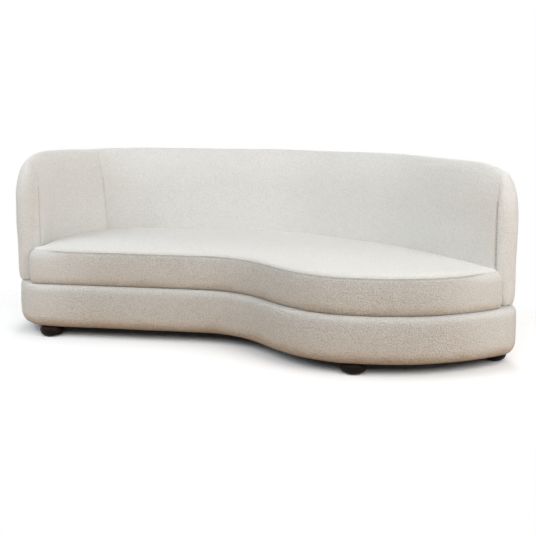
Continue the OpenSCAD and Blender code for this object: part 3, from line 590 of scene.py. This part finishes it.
def plainFinish(name, fixed, group, values, mask, dark, light, roughness, height, depth):
    material, tree, shader = newMaterial(name, fixed)
    marks = placeGroup(tree, group, values)
    dressShader(tree, shader, mixColour(tree, marks[mask], dark, light),
                spread(tree, marks[mask], *roughness), marks[height], depth)
    return material


def wovenCloth(name, thread, dark, light):
    return plainFinish(name, {"Specular IOR Level": 0.2}, weaveGroup, {"Thread": thread}, "Threads",
                       dark, light, (0.95, 0.85), "Height", thread * 0.3)


def softFill(name, cell, dark, light):
    return plainFinish(name, {"Specular IOR Level": 0.2}, cellGroup, {"Cell": cell}, "Cells", dark, light,
                       (0.9, 1.0), "Height", cell * 0.4)


def steel(name, dark, light, roughness, metallic=1.0):
    return plainFinish(name, {"Metallic": metallic}, metalGroup, {}, "Patches", dark, light,
                       (roughness, roughness + 0.2), "Scratches", 0.00004)


brushedBoucle = creamCloth("brushedBoucle", clothFinish["brushed"])  # back and seat top
# painted shade down the boxing, at its foot and in the crease below its top seam
boxingBoucle = creamCloth("boxingBoucle", clothFinish["looped"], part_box("seat_boxing"),
                          ("Fall", "Foot", "Needle Line"))
# painted shade down the plinth and at its foot
plinthBoucle = creamCloth("plinthBoucle", clothFinish["looped"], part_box("base_cover"), ("Fall", "Foot"))
linenThread = wovenCloth("linenThread", 0.0009, (0.34, 0.29, 0.24, 1), (0.50, 0.44, 0.37, 1))
finishes = {
    "cover_fabric": brushedBoucle,
    "dark_wood": turnedWood("espressoWood", (0.005, 0.003, 0.0015, 1), (0.014, 0.008, 0.004, 1), 0.42,
                            (30, 30, 260)),
    "plywood": turnedWood("birchPly", (0.56, 0.40, 0.24, 1), (0.72, 0.56, 0.38, 1), 0.6, (8, 60, 160)),
    "foam": softFill("seatFoam", 0.0018, (0.62, 0.52, 0.28, 1), (0.80, 0.72, 0.46, 1)),
    "wadding": softFill("whiteWadding", 0.006, (0.72, 0.72, 0.70, 1), (0.86, 0.86, 0.84, 1)),
    "hessian": wovenCloth("brownHessian", 0.0024, (0.22, 0.15, 0.08, 1), (0.52, 0.40, 0.25, 1)),
    "dust_cloth": wovenCloth("blackDustCloth", 0.0009, (0.008, 0.008, 0.009, 1), (0.035, 0.035, 0.038, 1)),
    "zinc_steel": steel("zincSteel", (0.50, 0.50, 0.49, 1), (0.66, 0.66, 0.64, 1), 0.32),
    "spring_steel": steel("springSteel", (0.12, 0.12, 0.13, 1), (0.24, 0.24, 0.25, 1), 0.35),
    "glide_plastic": steel("glidePlastic", (0.020, 0.020, 0.021, 1), (0.040, 0.040, 0.041, 1), 0.45, 0.0),
}
for entry in frame["record"]["subparts"]:
    node = frame["nodes"].get(entry["node"])
    if node is not None:
        for place in node.material_slots:
            place.material = finishes[entry["material_slot"]]
print("finishes ready:", ", ".join(m.name for m in finishes.values()))

# The back: one section carried along the run, with round ends
backShape = {
    "springZ": cadBounds[1][2] - 0.200, "crown": 0.200,  # where the side turns into the crown, and its height
    "pull": 0.014, "pullRise": 0.060, "lip": 0.014,  # how the lower edge pulls in
    "rowStep": 0.0095, "columnStep": 0.011, "thickness": 0.0024,
    "rearSeam": 0.0275,  # distance of the rear seam from the middle of the crown
    "insideLow": 0.310,  # lower edge of the inside covers, behind the seat
    "endDrop": 0.150, "endFade": 0.150,
    "rightRise": 0.052, "rightFull": (-1.05, 0.50),  # fuller crown near the right end
    "leftRise": 0.055, "leftFull": (-0.50, 0.35),  # and near the left
    "lean": 0.034, "leanReach": 0.10,
    "insidePuff": 0.0050, "outsidePuff": 0.0035, "puffRise": (0.42, 0.12), "puffFall": 0.16, "rearRise": 0.15,
    "flatEnd": 0.05, "flatCrease": 0.055,  # how far the seams hold the padding down beside them
    "ripple": (0.0016, 0.21, 3), "smallRipple": (0.0006, 0.075, 5),  # height, size and seed
    "pressure": 2.5, "cap": 0.005,
}
backSeamPlan = {  # each fades as it climbs into the crown, and stops short of its middle
    "leftEnd": {"depth": 0.0120, "width": 0.0060, "short": 0.018, "share": 1, "fade": (0.02, 0.14)},
    "rightEnd": {"depth": 0.0078, "width": 0.0068, "short": 0.018, "share": 1, "fade": (0.02, 0.14)},
    "crease": {"depth": 0.0050, "width": 0.0080, "short": 0.012, "share": 0.75, "fade": (0.03, 0.15)},
    "rear": {"depth": 0.0026, "width": 0.0042},
}
# The turns round each end, closest together at its seam
endTurns = np.radians((0, 1.2, 2.6, 4.3, 6.4, 9.2, 13, 18, 24, 31, 38, 45, *range(52, 181, 8)))
springZ = backShape["springZ"]


def backSection(shape):  # half the section, from its lower edge to mid-crown: (distance out, height)
    line = [(endR - shape["pull"] - shape["lip"], backLow)]
    line += [(endR - a, backLow + b) for a, b in cornerArc(shape["pull"], shape["pullRise"], 10)]
    line += [(endR * math.cos(t), springZ + shape["crown"] * math.sin(t))
             for t in np.linspace(0, math.pi / 2, 80)]
    crown = [i for i, (w, z) in enumerate(line) if z > springZ + 0.02]
    seamAt = min(crown, key=lambda i: abs(line[i][0] - shape["rearSeam"]))
    return (*sampledLine(line, shape["rowStep"], [seamAt]), line[seamAt])


sectionPoints, sectionNormals, seamSpot = backSection(backShape)
seamRow = int(np.argmin(np.linalg.norm(sectionPoints - np.array(seamSpot), axis=1)))
lowRow = int(np.argmin(np.abs(sectionPoints[:, 1] - backShape["insideLow"])
                       + (sectionPoints[:, 0] < endR * 0.8)))
apexRow = len(sectionPoints) - 1
creaseAt = runTrack.nearest(np.array(insideFace[2][:2]))
runMarks = graded(0, runTrack.length, backShape["columnStep"], [0, creaseAt, runTrack.length])
runEnds = ((0, -1), (runTrack.length, 1))


def forwardAt(s, way):  # level, along the run and out past its end
    m = runTrack.at(s)[1]
    return np.array((m[1], -m[0])) * way


def heightShare(s):
    away = np.minimum(s, runTrack.length - s)
    full = backShape["rightRise"] * smoothRise(s - runTrack.length, *backShape["rightFull"])
    full += backShape["leftRise"] * smoothRise(-s, *backShape["leftFull"])
    return 1 + full - backShape["endDrop"] * np.clip(1 - away / backShape["endFade"], 0, 1) ** 2


def crowned(z, share):
    return springZ + (z - springZ) * share if z > springZ else z


def leaned(s, w, z, side):  # the corner crease leans towards the arm as it climbs
    lean = backShape["lean"] * (1 if side < 0 else max(0, 1 - w / backShape["rearSeam"]))
    lean *= smoothRise(z, backShape["insideLow"], cadBounds[1][2] - backShape["insideLow"])
    return s - lean * hump(s - creaseAt, backShape["leanReach"])


def backPoint(s, w, z, side):  # side is -1 on the inside and 1 on the outside
    p, m = runTrack.at(leaned(s, w, z, side))
    spot = p + m * (endR + side * w)
    return (spot[0], spot[1], crowned(z, heightShare(s)))


def endPoint(s, w, z, turn, forward):  # the crown keeps falling towards the tip
    p, m = runTrack.at(s)
    fall = 2 * backShape["endDrop"] / backShape["endFade"] * w * math.sin(turn)
    ray = -m * math.cos(turn) + forward * math.sin(turn)
    spot = p + m * endR + ray * w
    return (spot[0], spot[1], crowned(z, heightShare(s) - fall)), ray


def sectionGrid(rows, columns, spotOf):
    points, normals = [], []
    for k in rows:
        nw, nz = sectionNormals[k]
        for column in columns:
            spot, ray = spotOf(column, *sectionPoints[k])
            points.append(spot)
            normals.append((ray[0] * nw, ray[1] * nw, nz))
    return points, normals


def patchGrid(rows, marks, side):
    return sectionGrid(rows, marks, lambda s, w, z: (backPoint(s, w, z, side), runTrack.at(s)[1] * side))


def climbingSeam(seams, s, seam, rows):
    line = [backPoint(s, *spot, -1) for spot in rows if spot[0] > seam["short"]]
    fades = [seam["share"] * smoothRise(p[2] - springZ, *seam["fade"]) for p in line]
    seams.add(line, [seam["depth"] * (1 - fade) for fade in fades], seam["width"])


backSeams = Seams()
climbingSeam(backSeams, 0, backSeamPlan["leftEnd"], sectionPoints)
climbingSeam(backSeams, runTrack.length, backSeamPlan["rightEnd"], sectionPoints)
climbingSeam(backSeams, creaseAt, backSeamPlan["crease"], sectionPoints[lowRow:])
line = [backPoint(s, *seamSpot, 1) for s in np.linspace(0, runTrack.length, 300)]
backSeams.add(line, [backSeamPlan["rear"]["depth"]] * len(line), backSeamPlan["rear"]["width"])


def backRelief(point, s, inside):
    z = point[2]
    rise = smoothRise(z, *backShape["puffRise"]) * smoothRise(cadBounds[1][2] - z, 0, backShape["puffFall"])
    if inside:
        lateral = 1 - hump(min(s, runTrack.length - s), backShape["flatEnd"])
        lateral *= 1 - hump(s - creaseAt, backShape["flatCrease"])
        out = backShape["insidePuff"] * rise * lateral
    else:
        out = backShape["outsidePuff"] * smoothRise(z, backLow, backShape["rearRise"]) * rise
    return out + rippled(point, *backShape["ripple"]) + rippled(point, *backShape["smallRipple"])


def dressed(points, normals, puffs, seams):
    out = []
    for p, n, puff in zip(points, normals, puffs):
        shift = puff - seams.dip(p)
        out.append(tuple(p[k] + n[k] * shift for k in range(3)))
    return out


def insidePanel(name, start, end):  # up the inside and over the crown to the rear seam
    marks = [s for s in runMarks if start - 1e-6 <= s <= end + 1e-6]
    wide, inner, outer = len(marks), range(lowRow, apexRow + 1), range(apexRow - 1, seamRow - 1, -1)
    rows = len(inner) + len(outer)
    points, normals = (a + b for a, b in zip(patchGrid(inner, marks, -1), patchGrid(outer, marks, 1)))
    puffs = [backRelief(p, marks[i % wide], True) for i, p in enumerate(points)]
    piece = newPiece(name, dressed(points, normals, puffs, backSeams), gridFaces(rows, wide), brushedBoucle)
    faceOutward(piece, normals)
    sewn = [i for i in range(rows * wide) if i < wide or i >= (rows - 1) * wide or i % wide in (0, wide - 1)]
    settleCover(piece, sewn, backShape["pressure"], backShape["cap"])
    thicken(piece, backShape["thickness"])
    return piece


def outsidePanel(name):  # the rear face with both round ends
    points, normals = patchGrid(range(seamRow + 1), runMarks, 1)
    faces = gridFaces(seamRow + 1, len(runMarks))
    puffs = [backRelief(p, runMarks[i % len(runMarks)], False) for i, p in enumerate(points)]
    for s, way in runEnds:
        forward = forwardAt(s, way)
        more, moreNormals = sectionGrid(range(len(sectionPoints)), endTurns,
                                        lambda turn, w, z: endPoint(s, w, z, turn, forward))
        faces += gridFaces(len(sectionPoints), len(endTurns), base=len(points))
        for i, p in enumerate(more):
            outer = (1 - math.cos(endTurns[i % len(endTurns)])) / 2
            puffs.append(backRelief(p, s, False) * outer + backRelief(p, s, True) * (1 - outer))
        points, normals = points + more, normals + moreNormals
    piece = newPiece(name, dressed(points, normals, puffs, backSeams), faces, brushedBoucle)
    hints = nearTree([v.co for v in piece.data.vertices])
    alignFaces(piece, meshing["joined"])
    faceOutward(piece, [normals[hints.find(v.co)[1]] for v in piece.data.vertices])
    thicken(piece, backShape["thickness"])
    return piece


leftArmInside = insidePanel("leftArmInsideCover", 0, creaseAt)
backInside = insidePanel("backInsideCover", creaseAt, runTrack.length)
backOutside = outsidePanel("backOutsideCover")
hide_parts("left_arm_inside_cover")
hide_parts("back_inside_cover", "back_foam")
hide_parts("back_outside_cover", "left_end_facing", "right_end_facing", "back_wadding")

# Ladder stitches that close each round end against its inside cover, laid on the covers as they are
stitchShape = {
    "low": 0.425, "high": 0.700, "pitch": 0.0100, "length": 0.0085, "radius": 0.0013, "sides": 6, "sunk": 0.4,
    "places": (-0.5, -0.3, 0.0, 0.3, 0.5), "swells": (0.45, 1.0, 1.0, 1.0, 0.45),  # along each stitch
    "hover": 0.02,  # how far out it is dropped from
}


def ladderStitches(name, shape, covers):
    surfaces = [BVHTree.FromPolygons([v.co for v in c.data.vertices],
                                     [tuple(f.vertices) for f in c.data.polygons]) for c in covers]
    sides, loops = range(shape["sides"]), len(shape["places"])
    verts, faces = [], []
    for s, way in runEnds:
        seam = np.array(sorted((backPoint(s, *spot, -1) for spot in sectionPoints
                                if spot[0] > backSeamPlan["leftEnd"]["short"]), key=lambda p: p[2]))
        here, inward = (Vector(backPoint(at, *sectionPoints[lowRow], -1)) for at in (s, s - way * 0.01))
        across = (inward - here).normalized()
        out = across.cross(Vector((0, 0, 1))).normalized()
        if out.dot(Vector((*runTrack.at(s)[1], 0))) > 0:
            out = -out
        for z in np.arange(shape["low"], shape["high"], shape["pitch"]):
            middle = Vector((np.interp(z, seam[:, 2], seam[:, 0]), np.interp(z, seam[:, 2], seam[:, 1]), z))
            starts = [middle + across * (place * shape["length"]) + out * shape["hover"]
                      for place in shape["places"]]
            reaches = [min((hit[3] for hit in (tree.ray_cast(start, -out, 2 * shape["hover"])
                                               for tree in surfaces) if hit[0]), default=0)
                       for start in starts]
            deepest = max(reaches)  # a thread spans what opens between the covers
            if deepest == 0:
                continue
            base = len(verts)
            for start, reach, swell in zip(starts, reaches, shape["swells"]):
                spot = start - out * (reach or deepest)
                size = shape["radius"] * swell
                for k in sides:
                    angle = 2 * math.pi / len(sides) * k
                    lift = out * size * (shape["sunk"] + math.cos(angle))
                    verts.append(spot + lift + Vector((0, 0, size * math.sin(angle))))
            faces += gridFaces(loops, len(sides), closed=True, base=base)
            last = base + (loops - 1) * len(sides)
            faces += [tuple(base + k for k in reversed(sides)), tuple(last + k for k in sides)]
    piece = newPiece(name, verts, faces, linenThread)
    alignFaces(piece)
    return piece


armEndStitches = ladderStitches("armEndStitches", stitchShape, (leftArmInside, backInside, backOutside))
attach(armEndStitches, body)
print("back ready:", sum(len(p.data.polygons) for p in (leftArmInside, backInside, backOutside)), "faces")


# A band carried round a closed plan: rows of (distance out, height)
def bandProfile(shape, low, high):
    (bottomLip, topLip), bottom, top = shape["lip"], shape["bottom"], shape["top"]
    line = [(-bottom[0] - bottomLip, low)]
    line += [(-a, low + b) for a, b in cornerArc(*bottom, 9)]
    line += [(-a, high - b) for a, b in reversed(cornerArc(*top, 8))]
    if topLip > 0:
        return sampledLine(line + [(-top[0] - topLip, high)], shape["rowStep"])
    return sampledLine(line, shape["rowStep"], [len(line) - 1])


def bandPiece(name, cloth, track, shape, low, high, puffAt, lowAt=None, reshape=None):
    (rows, rowNormals), count = bandProfile(shape, low, high), math.ceil(track.length / shape["columnStep"])
    marks = np.linspace(0, track.length, count, endpoint=False)
    spots, inward = track.at(marks)
    verts, normals = [], []
    for (w, z), (nw, nz) in zip(rows, rowNormals):
        for j, s in enumerate(marks):
            height = z if lowAt is None else lowAt(s, z)
            p = spots[j] - inward[j] * w
            n = (-inward[j][0] * nw, -inward[j][1] * nw, nz)
            shift = puffAt((p[0], p[1], height), s)
            spot = (p[0] + n[0] * shift, p[1] + n[1] * shift, height + n[2] * shift)
            verts.append(reshape(spot, inward[j], -w) if reshape else spot)
            normals.append(n)
    piece = newPiece(name, verts, gridFaces(len(rows), count, closed=True), cloth)
    faceOutward(piece, normals)
    thicken(piece, shape["thickness"])
    return piece


def bulging(z, low, high, power):  # 0 at both edges of a band and 1 at mid-height
    return math.sin(math.pi * min(1, max(0, (z - low) / (high - low)))) ** power


# The seat: a tight cushion with a boxed edge and a crowned top
seatShape = {
    "seamLift": 0.0025,  # from the lower edge of the top panel to the seam
    "bottom": (0.009, 0.034), "top": (0.0045, 0.012), "lip": (0.009, 0), "thickness": 0.0022,
    "endRound": 0.055, "leftReach": (0.20, 0.12), "rightReach": (0.20, 0.13),  # fuller shoulders at both ends
    "bulge": 0.0045, "bulgePower": 0.8, "boxingRipple": (0.0009, 0.09, 2),
    "crown": 0.0150, "shoulder": 0.0120, "broadCrown": 0.0070, "broadReach": 0.26, "rippleFrom": 0.06,
    "ripple": (0.0018, 0.24, 6), "pucker": 0.0011, "puckerReach": 0.014,
    "puckers": ((0.020, (4.7, 1.3)), (0.0095, (2.1, 8.8)), (0.35, (9.2, 3.3))),  # three noises: size, place
    "groove": 0.0046, "grooveWidth": 0.0048, "grooveFill": 0.8, "grooveSlope": 0.7,
    "opening": (0.004, 0.045), "tucking": (0.001, 0.009),  # from where, and over what distance from the back
    "rearLow": 0.302, "gridStep": 0.015, "columnStep": 0.0085, "rowStep": 0.0085,
    "rings": (0.0018, 0.004, 0.007, 0.011, 0.016, 0.023), "pressure": 2.5, "cap": 0.007,
}
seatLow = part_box("seat_boxing")[0][2]
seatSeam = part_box("seat_top_panel")[0][2] + seatShape["seamLift"]
backTree = nearTree(list(runTrack.at(np.linspace(0, runTrack.length, 1500))[0]) + [
    p + m * endR + endR * (-m * math.cos(t) + forwardAt(s, way) * math.sin(t))
    for s, way in runEnds for p, m in [runTrack.at(s)] for t in np.linspace(0, math.pi, 40)])


def openness(p):  # 0 where the seat lies against the back, 1 where it stands free
    return smoothRise(planGap(backTree, p), *seatShape["opening"])


def tuckedUnder(p):  # 1 where the back hides the boxing's lower edge
    return 1 - smoothRise(planGap(backTree, p), *seatShape["tucking"])


def seatPucker(s):  # fine and finer puckers that come and go along the seam
    fine, finer, slow = (noise.noise(Vector((s / size, *place))) for size, place in seatShape["puckers"])
    return seatShape["pucker"] * (fine + 0.6 * finer) * (0.55 + 0.9 * max(0.0, slow))


def endShare(x):  # how much of the fuller shoulder there is at x
    left = smoothRise((seatLeftX + seatShape["leftReach"][0] - x) / seatShape["leftReach"][1])
    right = smoothRise((x - seatTip[0] + seatShape["rightReach"][0]) / seatShape["rightReach"][1])
    return max(left, right)


def seatGroove(x, away):  # the stitches draw both edges down, less where the ends are full
    return (seatShape["groove"] * (1 - seatShape["grooveFill"] * endShare(x))
            * hump(away, seatShape["grooveWidth"]))


def shoulderSpot(angle):  # distance in and height on the shoulder's round, from the side (0) to the top (90)
    r = seatShape["endRound"]
    rim = seatShape["crown"] * (1 - math.exp(-r / seatShape["shoulder"]))
    return r * (1 - math.cos(angle)), seatSeam + rim - r + r * math.sin(angle)


def boxingShoulder(p, inward, inset):
    base = shoulderSpot(0)[1]
    t = min(1, max(0, (p[2] - base) / (seatSeam - base)))
    share = endShare(p[0])
    if t == 0 or share == 0:
        return p
    reach, height = shoulderSpot(math.pi / 4 * t)
    move = (reach - inset) * share
    return (p[0] + inward[0] * move, p[1] + inward[1] * move, p[2] + (height - p[2]) * share)


def boxingSeam(p, inward, inset):  # both edges turn in and down at the seam, so that it shows as a crease
    p = boxingShoulder(p, inward, inset)
    sink = seatShape["grooveSlope"] * seatGroove(p[0], seatSeam - p[2]) * openness(p)
    return (p[0] + inward[0] * sink, p[1] + inward[1] * sink, p[2] - sink)


def boxingPuff(p, s):
    free = openness(p)
    out = seatShape["bulge"] * bulging(p[2], seatLow, seatSeam, seatShape["bulgePower"]) * free
    out += seatPucker(s) * math.exp(-(seatSeam - p[2]) / seatShape["puckerReach"]) * free
    return out + rippled(p, *seatShape["boxingRipple"]) * free


def boxingRow(s, z):  # rows rise towards the seam where the lower edge is tucked up
    rise = (seatShape["rearLow"] - seatLow) * tuckedUnder(seatTrack.at(s)[0])
    return z + rise * (seatSeam - z) / (seatSeam - seatLow)


seatBoxing = bandPiece("seatBoxing", boxingBoucle, seatTrack, seatShape, seatLow, seatSeam,
                       boxingPuff, boxingRow, boxingSeam)


def insidePlan(points, outline):
    inside = np.zeros(len(points), bool)
    for (ax, ay), (bx, by) in zip(outline, np.roll(outline, -1, axis=0)):
        if ay != by:
            hit = ((ay > points[:, 1]) != (by > points[:, 1]))
            inside ^= hit & (points[:, 0] < (bx - ax) * (points[:, 1] - ay) / (by - ay) + ax)
    return inside


def seatTop(name, shape):
    count = math.ceil(seatTrack.length / shape["columnStep"])
    marks = np.linspace(0, seatTrack.length, count, endpoint=False)
    spots, inward = seatTrack.at(marks)
    edge = spots + inward * shape["top"][0]
    edgeTree = nearTree(edge)
    points = list(edge)
    for r in shape["rings"]:
        points += [p for p in spots + inward * (shape["top"][0] + r) if planGap(edgeTree, p) > r * 0.93]
    low, high, step = edge.min(0), edge.max(0), shape["gridStep"]
    rows = np.arange(low[1], high[1], step * 0.866)
    grid = np.array([(x + (i % 2) * step / 2, y) for i, y in enumerate(rows)
                     for x in np.arange(low[0], high[0], step)])
    points += [p for p in grid[insidePlan(grid, edge)]
               if planGap(edgeTree, p) > shape["rings"][-1] + step * 0.6]
    ring = list(range(count))
    border = list(zip(ring, ring[1:] + ring[:1]))
    flat, _, faces = delaunay_2d_cdt([Vector(p) for p in points], border, [], 1, 1e-7)[:3]
    verts = []
    for p in flat:
        i, away = edgeTree.find((p[0], p[1], 0))[1:]
        sink = shape["grooveSlope"] * seatGroove(p[0], away) * openness(edge[i])
        rise = shape["crown"] * (1 - math.exp(-away / shape["shoulder"]))
        rise += shape["broadCrown"] * smoothRise(away, 0, shape["broadReach"])
        rise += seatPucker(marks[i]) * math.exp(-away / shape["puckerReach"]) * openness(edge[i])
        rise -= sink
        rise += rippled((p[0], p[1], seatSeam), *shape["ripple"]) * smoothRise(away, 0, shape["rippleFrom"])
        share, d = endShare(p[0]), away + shape["top"][0]
        if share > 0 and d < shape["endRound"]:
            reach, height = shoulderSpot(math.pi / 4 * (1 + away / (shape["endRound"] - shape["top"][0])))
            move = (reach - d) * share
            p = (p[0] + inward[i][0] * move, p[1] + inward[i][1] * move)
            rise += (height - seatSeam - rise) * share
        verts.append((p[0] + inward[i][0] * sink, p[1] + inward[i][1] * sink, seatSeam + rise))
    piece = newPiece(name, verts, [tuple(f) for f in faces], brushedBoucle)
    faceOutward(piece, [(0, 0, 1)] * len(verts))
    settleCover(piece, [i for i, p in enumerate(flat) if planGap(edgeTree, p) < 1e-4],
                shape["pressure"], shape["cap"])
    thicken(piece, shape["thickness"])
    return piece


seatTopPanel = seatTop("seatTopPanel", seatShape)
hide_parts("seat_boxing", "seat_foam")
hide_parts("seat_top_panel", "seat_topper")
print("seat ready:", len(seatBoxing.data.polygons) + len(seatTopPanel.data.polygons), "faces")

# The padded plinth
plinthShape = {
    "sag": 0.006, "bottom": (0.030, 0.052), "top": (0.014, 0.026), "lip": (0.006, 0.074), "thickness": 0.0022,
    "bulge": 0.0030, "bulgePower": 0.7, "ripple": (0.0014, 0.16, 9), "columnStep": 0.0095, "rowStep": 0.009,
    "seams": ((-0.35, rearY), (0.62, 0.30)), "seamDepth": 0.0022, "seamWidth": 0.0042,  # upright, at the back
}
plinthSeams = Seams()
for place in plinthShape["seams"]:
    x, y = plinthTrack.at(plinthTrack.nearest(np.array(place)))[0]
    plinthSeams.add([(x, y, plinthLow), (x, y, plinthHigh)],
                    [plinthShape["seamDepth"]] * 2, plinthShape["seamWidth"])


def plinthPuff(p, s):
    out = plinthShape["bulge"] * bulging(p[2], plinthLow, plinthHigh, plinthShape["bulgePower"])
    return out + rippled(p, *plinthShape["ripple"]) - plinthSeams.dip(p)


plinthCover = bandPiece("plinthCover", plinthBoucle, plinthTrack, plinthShape, plinthLow - plinthShape["sag"],
                        plinthHigh, plinthPuff)
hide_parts("base_cover", "base_foam")
for piece in (leftArmInside, backInside, backOutside, seatBoxing, seatTopPanel, plinthCover):
    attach(piece, body)
print("plinth ready:", len(plinthCover.data.polygons), "faces")

# Feet: turned buns with a fine groove under the neck
footShape = {
    "belly": 0.056, "sole": 0.039, "neck": 0.036, "sides": 72,
    "half": 0.46, "rounding": 1.05, "sweep": (-68, 69, 8),  # the bun's half height as a share, its degrees
    "soleEdge": ((-0.004, 0), (-0.001, 0.0008)), "collarHeight": 0.006,
    "collar": ((0.004, -0.0002), (0.0015, 0.0006), (0.0008, 0.0016), (0.0022, 0.0030)),
}
footNames = ["foot_" + place for place in ("front_left", "front_lobe", "front_right",
                                           "rear_left", "rear_middle", "rear_right")]


def footProfile(low, high, shape):
    half = (high - low) * shape["half"]
    line = [(0.0, low)] + [(shape["sole"] + a, low + b) for a, b in shape["soleEdge"]]
    for a in np.radians(np.arange(*shape["sweep"])):
        line.append((
            shape["belly"] - (shape["belly"] - shape["sole"]) * (1 - math.cos(a)) * shape["rounding"],
            low + half + half * math.sin(a)))
    line += [(shape["neck"] + a, high - shape["collarHeight"] + b) for a, b in shape["collar"]]
    return line + [(shape["neck"] + shape["collar"][-1][0], high), (0.0, high)]


for name in footNames:
    low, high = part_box(name)
    middle = (low + high) / 2
    profile = footProfile(low[2], high[2], footShape)
    verts = []
    for r, z in profile:
        for t in np.arange(footShape["sides"]) * 2 * math.pi / footShape["sides"]:
            verts.append((middle[0] + max(r, 1e-4) * math.cos(t), middle[1] + max(r, 1e-4) * math.sin(t), z))
    foot = newPiece("foot" + name[4:].title().replace("_", ""), verts,
                    gridFaces(len(profile), footShape["sides"], closed=True), finishes["dark_wood"])
    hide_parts(name)
    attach(foot, body)
    faceOutward(foot, [(v[0] - middle[0], v[1] - middle[1], v[2] - middle[2]) for v in verts])
print("feet ready:", len(footNames))

# Plain pale floor that fades into the white all round, and soft lamps round about
stagePlan = {
    "floorRadius": 4.2, "floorSides": 96, "floorFade": (0.38, 0.85),
    "floorColour": (0.54, 0.40, 0.28, 1), "floorSeen": (1.13, 1.14, 1.155, 1),  # as it lights, and as seen
    "shadowMiddle": (0, -0.15), "shadowHalf": (1.30, 0.85), "shadowFade": (0.98, 1.45),  # its ellipse
    "ambient": 0.22, "ambientColour": (1.0, 0.98, 0.955, 1),
    "ambientRise": (-0.05, 0.6), "ambientRange": (0.2, 1.3),
    "lamps": {  # place, aim, width, depth, power, colour
        "overheadLamp": ((-0.15, -0.25, 2.35), (-0.15, -0.249, 0), 4.4, 1.9, 2.5, (0.95, 0.985, 1.0)),
        "leftLamp": ((-3.0, -1.6, 2.5), (0, 0, 0.4), 2.2, 2.2, 62.0, (0.91, 0.98, 1.03)),
        "rightLamp": ((3.0, -2.0, 2.5), (0, 0, 0.4), 2.2, 2.2, 82.0, (0.99, 0.975, 0.955)),
        "frontLamp": ((0.2, -3.7, 3.0), (0, 0, 0.4), 3.0, 2.0, 49.0, (1.0, 0.965, 0.92)),
        "rearLamp": ((0, 3.4, 2.8), (0, 0, 0.4), 3.0, 2.0, 68.0, (1.0, 0.985, 0.96)),
    },
}


def seenDirectly(tree):  # 1 for what the eye sees straight, in a reflection or through glass
    rays = addNode(tree, "LightPath").outputs
    seen = mathNode(tree, "MAXIMUM", rays["Is Camera Ray"], rays["Is Glossy Ray"])
    return mathNode(tree, "MAXIMUM", seen, rays["Is Transmission Ray"])


def blendedSurface(tree, factor, first, second, output):
    blend = addNode(tree, "MixShader", {0: factor, 1: first.outputs[0], 2: second.outputs[0]})
    addNode(tree, output, {0: blend.outputs[0]})


paleFloor = bpy.data.materials.new("paleFloor")
paleFloor.use_nodes = True
tree = paleFloor.node_tree
tree.nodes.clear()
place, seen = addNode(tree, "TexCoord").outputs["Object"], seenDirectly(tree)
away = vectorNode(tree, "LENGTH", place)
fadeEnds = (stagePlan["floorRadius"] * k for k in stagePlan["floorFade"])
fade = rangeNode(tree, away, *fadeEnds)
centred = vectorNode(tree, "SUBTRACT", place, (*stagePlan["shadowMiddle"], 0))
reach = vectorNode(tree, "LENGTH", vectorNode(tree, "DIVIDE", centred, (*stagePlan["shadowHalf"], 1)))
beyond = times(tree, seen, rangeNode(tree, reach, *stagePlan["shadowFade"], steps="SMOOTHSTEP"))
matt = addNode(tree, "BsdfDiffuse",
               {"Color": mixColour(tree, seen, stagePlan["floorColour"], stagePlan["floorSeen"])})
blendedSurface(tree, mathNode(tree, "MAXIMUM", fade, beyond), matt, addNode(tree, "BsdfTransparent"),
               "OutputMaterial")
rim = [(stagePlan["floorRadius"] * math.cos(a), stagePlan["floorRadius"] * math.sin(a), 0)
       for a in np.linspace(0, 2 * math.pi, stagePlan["floorSides"], endpoint=False)]
floor = newPiece("floor", rim, [tuple(range(len(rim)))], paleFloor, smooth=False)

world = bpy.data.worlds.new("softWhite")
scene.world = world
world.use_nodes = True
tree = world.node_tree
tree.nodes.clear()
skyward = addNode(tree, "SeparateXYZ", {0: addNode(tree, "TexCoord").outputs["Generated"]}).outputs["Z"]
levels = (stagePlan["ambient"] * k for k in stagePlan["ambientRange"])
strength = rangeNode(tree, skyward, *stagePlan["ambientRise"], *levels)
ambient = addNode(tree, "Background", {"Color": stagePlan["ambientColour"], "Strength": strength})
backdrop = addNode(tree, "Background", {"Color": (1, 1, 1, 1), "Strength": 1.0})
blendedSurface(tree, seenDirectly(tree), ambient, backdrop, "OutputWorld")

for name, (place, aim, width, depth, power, colour) in stagePlan["lamps"].items():
    lamp = bpy.data.lights.new(name, "AREA")
    lamp.shape, lamp.size, lamp.size_y, lamp.energy, lamp.color = "RECTANGLE", width, depth, power, colour
    holder = bpy.data.objects.new(name, lamp)
    scene.collection.objects.link(holder)
    holder.location = place
    holder.rotation_euler = (Vector(aim) - Vector(place)).to_track_quat("-Z", "Y").to_euler()
    holder.visible_camera = False

# The camera stands a little above the seat and looks slightly down
cameraPlan = {
    "place": (0.52192, -3.58631, 1.23953), "pitch": 5.68985, "yaw": 7.43890,
    "lens": 52.379, "sensor": 36, "shift": -0.22,
}
lens = bpy.data.cameras.new("viewCamera")
lens.lens, lens.sensor_width, lens.shift_y = cameraPlan["lens"], cameraPlan["sensor"], cameraPlan["shift"]
viewer = bpy.data.objects.new("viewCamera", lens)
scene.collection.objects.link(viewer)
viewer.location = cameraPlan["place"]
viewer.rotation_euler = (math.radians(90 - cameraPlan["pitch"]), 0, math.radians(cameraPlan["yaw"]))
scene.camera = viewer
scene.view_settings.view_transform = "Standard"

bpy.context.view_layer.update()
